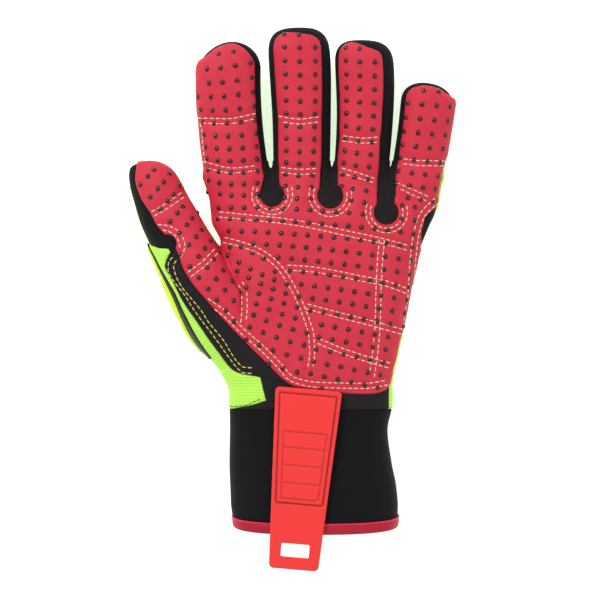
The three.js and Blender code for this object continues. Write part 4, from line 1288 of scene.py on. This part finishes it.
def make_tab():
    """A flat grid cut to the plate's outline, raised to its face, closed below and laid on the cuff."""
    x, y = np.meshgrid(np.arange(-18, 18.4, TAB_STEP), np.arange(-95, 2.2, TAB_STEP), indexing="ij")
    cells = np.arange(x.size).reshape(x.shape)
    a, b, c, d = cells[:-1, :-1], cells[1:, :-1], cells[1:, 1:], cells[:-1, 1:]
    faces = np.concatenate([np.stack([a, b, c], -1).reshape(-1, 3), np.stack([a, c, d], -1).reshape(-1, 3)])
    flat = np.column_stack([x.ravel(), y.ravel(), np.zeros(x.size)])
    flat, faces = clip(flat, faces, plate_edge(flat[:, 0], flat[:, 1]), 0.05)
    # mark holds the painted shade in the tab's grooves
    height, mark = tab_face(flat[:, 0], flat[:, 1])
    points, face_and_rim = with_rim(flat + height[:, None] * [0, 0, 1], faces, flat)
    mark = np.concatenate([mark, np.zeros(len(points))])
    turn, tilt = np.radians(TAB_TURN), np.arctan2(TAB_SEAT[2] - HEM_SEAT, CUFF_LENGTH)
    around_z = np.array([[np.cos(turn), -np.sin(turn), 0], [np.sin(turn), np.cos(turn), 0], [0, 0, 1]])
    around_x = np.array([[1, 0, 0], [0, np.cos(tilt), -np.sin(tilt)], [0, np.sin(tilt), np.cos(tilt)]])
    laid = np.concatenate([points, flat]) @ (around_x @ around_z).T + TAB_SEAT
    return laid, np.concatenate([face_and_rim, faces[:, ::-1] + len(points)]), mark


tab, tab_faces, tab_groove_shade = make_tab()
piece("rubber_pull_tab", tab, tab_faces, tab_rubber, "red_rubber", "pull_tab", attribute=tab_groove_shade)

# Silicone dots: in each patch they stand on a lattice that bends a little, as columns i and rows j


def lattice(columns, rows, x, y):
    """Points in plan, where x and y are the factors of 1, j, j squared, i, i times j and i squared."""
    i, j = [v.ravel() for v in np.meshgrid(np.arange(*columns), np.arange(*rows), indexing="ij")]
    terms = np.stack([np.ones(i.size), j, j * j, i, i * j, i * i])
    return np.stack([x @ terms, y @ terms], 1)


PALM_DOTS = lattice(
    (-8, 9),
    (-7, 11),
    (-4.715, -1.019, -0.044, 7.098, 0.012, 0.001),
    (67.119, -6.538, 0.016, -0.823, -0.063, -0.029),
)
THENAR_DOTS = lattice(
    (-3, 6),
    (-7, 7),
    (-28.659, -1.438, -0.137, 6.681, 0.118, 0.072),
    (56.719, -5.761, -0.189, -3.102, -0.06, 0.203),
)
THUMB_DOTS = lattice(
    (-1, 5),
    (-1, 12),
    (-91.099, 5.611, -0.058, 4.764, -0.118, -0.521),
    (120.608, -6.753, 0.054, 4.853, 0.008, -0.407),
)
FINGER_DOTS = [
    lattice(
        (0, 5),
        (0, 12),
        (-63.929, 1.375, -0.047, 7.023, -0.116, 0.191),
        (190.928, -7.704, 0.094, -0.632, -0.126, 0.383),
    ),
    lattice(
        (0, 3),
        (0, 14),
        (-13.976, 0.356, -0.025, 7.807, -0.104, 0.234),
        (201.919, -7.407, 0.049, -0.977, -0.031, 0.493),
    ),
    lattice(
        (0, 3),
        (0, 13),
        (19.009, 0.355, -0.051, 7.085, -0.108, 0.372),
        (194.747, -7.363, 0.053, -1.141, -0.091, 0.377),
    ),
    lattice(
        (0, 4),
        (0, 10),
        (53.434, -0.91, -0.011, 7.767, -0.103, 0.058),
        (172.665, -7.778, 0.074, -1.092, -0.075, 0.196),
    ),
]
FINGERS_FROM = 111  # from here up the fingers' lattices take the palm's place
THUMB_DOTS_END = 130
DOTS_APART = 4.2  # the least way between two dots
DOT_MARGIN = 0.5  # from the leather's edge to a dot's middle
# The line between the palm's and the thumb's lattices: heights and the x at each
FOLD_PLACE = ((20, 45, 55, 62, 67.3, 76, 84, 92), (-45, -39, -36, -36, -39, -44.5, -48, -52))


def on_front(plan):
    """The form's front over points in plan, its normals there, and which of the points have it below them.

    Each point goes down by nine tenths of its distance to the form, 40 times.
    """
    points = np.column_stack([plan, np.full(len(plan), 60.0)])
    for _ in range(40):
        points[:, 2] -= np.clip(glove_field(points), -1, 60) * 0.9
    hit = np.abs(glove_field(points)) < 0.1
    points = points[hit]
    normal = facing(points)
    return points, normal, hit


def dots_in_plan():
    """The dots of every patch, each inside its own part of the leather."""
    palm = (inside_outline(PALM_DOTS, THUMB_SIDE) < -0.5) & (PALM_DOTS[:, 1] < FINGERS_FROM)
    x, y = THENAR_DOTS.T
    thenar = (inside_outline(THENAR_DOTS, THUMB_SIDE) > 0.5) & (x > np.interp(y, *FOLD_PLACE) + 1)
    x, y = THUMB_DOTS.T
    on_thumb = ((x < np.interp(y, *FOLD_PLACE) - 0.5) | (y < 50)) & (y < THUMB_DOTS_END)
    fingers = [dots[dots[:, 1] >= FINGERS_FROM] for dots in FINGER_DOTS]
    return np.concatenate([PALM_DOTS[palm], THENAR_DOTS[thenar], THUMB_DOTS[on_thumb], *fingers])


def place_dots():
    """The middle of every dot on the leather's face, with the face's normal.

    The raised face leans away from its place in plan, so each dot is first moved against that.
    """
    plan = dots_in_plan()
    points, normal, hit = on_front(plan)
    plan = plan[hit] - leather_height(points, normal[:, 2], 3.0)[:, None] * normal[:, :2]
    points, normal, _ = on_front(plan)
    edge = leather_inside(points, normal[:, 2])
    kept = edge > DOT_MARGIN
    points, normal, edge = points[kept], normal[kept], edge[kept]
    chosen = []
    for k in range(len(points)):
        if all(np.linalg.norm(points[k] - points[m]) > DOTS_APART for m in chosen):
            chosen.append(k)
    points, normal, edge = points[chosen], normal[chosen], edge[chosen]
    return points + (leather_height(points, normal[:, 2], edge) - 0.15)[:, None] * normal, normal


def frames(normal):
    """Two directions square to each normal: its cross product with the way up the palm, and with that one."""
    one = np.cross(normal, [0.1, 1, 0])
    one /= np.linalg.norm(one, axis=1, keepdims=True)
    return one, np.cross(normal, one)


def tubes(grid):
    """A mesh of open tubes from an array of points by tube, ring and place round it."""
    number = np.arange(grid[..., 0].size).reshape(grid.shape[:3])
    across = np.roll(number, -1, 2)
    faces = np.stack([number[:, :-1], across[:, :-1], across[:, 1:], number[:, 1:]], -1)
    return grid.reshape(-1, 3), faces.reshape(-1, 4)


DOT_RINGS = ((1.38, 0), (1.32, 0.35), (1.08, 0.72), (0.65, 0.92), (0.001, 0.98))  # radius and height of each


def dots_mesh(points, normal):
    """Low domes with a flattened top: rings of 12 points, bumpy and squeezed a little on each dome's own."""
    random = np.random.default_rng(5)
    sides = 12
    angle = 2 * np.pi * np.arange(sides) / sides
    c, s = np.cos(angle)[None, :, None], np.sin(angle)[None, :, None]
    one, other = frames(normal)
    squeeze = random.uniform(0.9, 1.08, (len(points), 1, 1))
    bumpy = 1 + random.normal(0, 0.05, (len(points), sides, 1))
    out = bumpy * (c * one[:, None] * squeeze + s * other[:, None] / squeeze)
    rings = [points[:, None] + radius * out + rise * normal[:, None] for radius, rise in DOT_RINGS]
    return tubes(np.stack(rings, 1))


piece("silicone_dots", *dots_mesh(*place_dots()), dot_rubber, "red_leather")

# Stitches: short round threads in rows on both sides of each seam

STITCH = 2.2
STITCH_PITCH = 3.1  # from one stitch to the next
THREAD = 0.3  # its radius
KEYHOLE_ROWS = 1.2  # how far each row of a keyhole is from the seam's middle
# The height and the share of the radius at five places along a stitch, so that its ends sink in
STITCH_LIFT = np.array([-0.1, 0.16, 0.24, 0.16, -0.1])
STITCH_THICK = np.array([0.55, 1, 1.05, 1, 0.55])


def row_beside(line, shift):
    """A line shifted sideways in plan, square to its own direction."""
    way = np.gradient(line, axis=0)
    way /= np.linalg.norm(way, axis=1, keepdims=True)
    return line + shift * np.column_stack([-way[:, 1], way[:, 0]])


def dashes(line, pitch=STITCH_PITCH):
    """Five points in plan along each stitch of a row."""
    reach = np.concatenate([[0], np.cumsum(np.linalg.norm(np.diff(line, axis=0), axis=1))])
    starts = np.arange(0.5, reach[-1] - STITCH, pitch)
    at = starts[:, None] + np.linspace(0, STITCH, 5)
    return np.stack([np.interp(at, reach, line[:, 0]), np.interp(at, reach, line[:, 1])], -1)


def stitches(rows, inside, height, radius=THREAD):
    """Threads along the face given by inside() and height(): six-sided rings square to each stitch's way."""
    points, normal, hit = on_front(np.concatenate(rows).reshape(-1, 2))
    every = np.zeros((len(hit), 6))
    every[hit] = np.concatenate([points, normal], 1)
    whole = hit.reshape(-1, 5).all(1)
    points, normal = np.split(every.reshape(-1, 5, 6)[whole], 2, axis=2)
    edge = inside(points.reshape(-1, 3), normal.reshape(-1, 3)[:, 2]).reshape(-1, 5)
    kept = edge.min(1) > 0.25
    points, normal, edge = points[kept], normal[kept], edge[kept]
    rise = height(points.reshape(-1, 3), normal.reshape(-1, 3)[:, 2], edge.ravel()).reshape(-1, 5, 1)
    middle_line = points + (rise + STITCH_LIFT[:, None]) * normal
    way = np.gradient(middle_line, axis=1)
    way /= np.linalg.norm(way, axis=2, keepdims=True)
    other = np.cross(way, normal)
    other /= np.linalg.norm(other, axis=2, keepdims=True)
    up = np.cross(other, way)
    angle = 2 * np.pi * np.arange(6) / 6
    round_it = np.cos(angle)[:, None] * other[:, :, None] + np.sin(angle)[:, None] * up[:, :, None]
    return tubes(middle_line[:, :, None] + radius * STITCH_THICK[:, None, None] * round_it)


ivory_rows = []
for name, line in seams.items():
    apart = KEYHOLE_ROWS if name.startswith("keyhole") else ROW_APART / 2
    shifts = [0] if name == "index_edge" else [apart, -apart]
    ivory_rows += [dashes(row_beside(curve(line, 0.7), shift)) for shift in shifts]
yellow_rows = [dashes(curve(line, 0.7)) for line in SIDE_ROWS]
green_rows = [dashes(curve(HEM_ROW, 0.7), 2.5)]
piece("ivory_stitches", *stitches(ivory_rows, leather_inside, leather_height), thread, "red_leather")
yellow_threads = stitches(yellow_rows, strip_inside, thin_layer(1.0))
piece("yellow_stitches", *yellow_threads, bright_thread, "bright_knit")
green_threads = stitches(green_rows, back_inside, thin_layer(0.8), 0.22)
piece("green_stitches", *green_threads, green_thread, "bright_knit")

# Floor, camera and light

WHITE = color("#ffffff")
MIDDLE = (0.0, 0.0, 0.03)  # where the lamps aim
FLOOR_HALF = 3.0
FLOOR_GLOW = 0.6  # keeps the floor as white as the photograph's background
SKY = 0.53
CAMERA_PLACE = (0.00326, -0.00162, 1.1)  # straight above the glove
LENS = 118.9
SENSOR = 36


def area_light(name, place, size, power):
    """A round lamp that faces the middle of the glove."""
    data = bpy.data.lights.new(name, "AREA")
    data.shape, data.size, data.energy = "DISK", size, power
    lamp = bpy.data.objects.new(name, data)
    lamp.location = place
    lamp.rotation_euler = (Vector(MIDDLE) - Vector(place)).to_track_quat("-Z", "Y").to_euler()
    bpy.context.scene.collection.objects.link(lamp)


def make_floor():
    """Painted board: matt and white."""
    tree, place, finish = new_material("pale studio floor")
    cloud = add(tree, "TexNoise", {}, {"Vector": place, "Scale": 1 / 30, "Detail": 2.0}).outputs["Fac"]
    return finish(
        cloud, 0.01, Base_Color=WHITE, Roughness=0.9, Emission_Color=WHITE, Emission_Strength=FLOOR_GLOW
    )


floor_mesh = bpy.data.meshes.new("floor")
floor_corners = [(x * FLOOR_HALF, y * FLOOR_HALF, 0) for x, y in ((-1, -1), (1, -1), (1, 1), (-1, 1))]
floor_mesh.from_pydata(floor_corners, [], [(0, 1, 2, 3)])
floor_mesh.materials.append(make_floor())
floor = bpy.data.objects.new("floor", floor_mesh)
bpy.context.scene.collection.objects.link(floor)

area_light("key", (-0.55, 0.75, 1.0), 0.6, 9.5)
area_light("fill", (0.8, 0.1, 1.1), 1.0, 3)
area_light("low", (0.1, -0.9, 0.8), 1.0, 2)

world = bpy.data.worlds.new("studio")
world.use_nodes = True
world.node_tree.nodes.clear()
sky = add(world.node_tree, "Background", {}, {"Color": WHITE, "Strength": SKY})
add(world.node_tree, "OutputWorld", {}, {"Surface": sky.outputs[0]})
bpy.context.scene.world = world
bpy.context.scene.view_settings.view_transform = "Standard"

camera_data = bpy.data.cameras.new("camera")
camera_data.sensor_width = SENSOR
camera_data.lens = LENS
camera = bpy.data.objects.new("camera", camera_data)
camera.location = CAMERA_PLACE
bpy.context.scene.collection.objects.link(camera)
bpy.context.scene.camera = camera
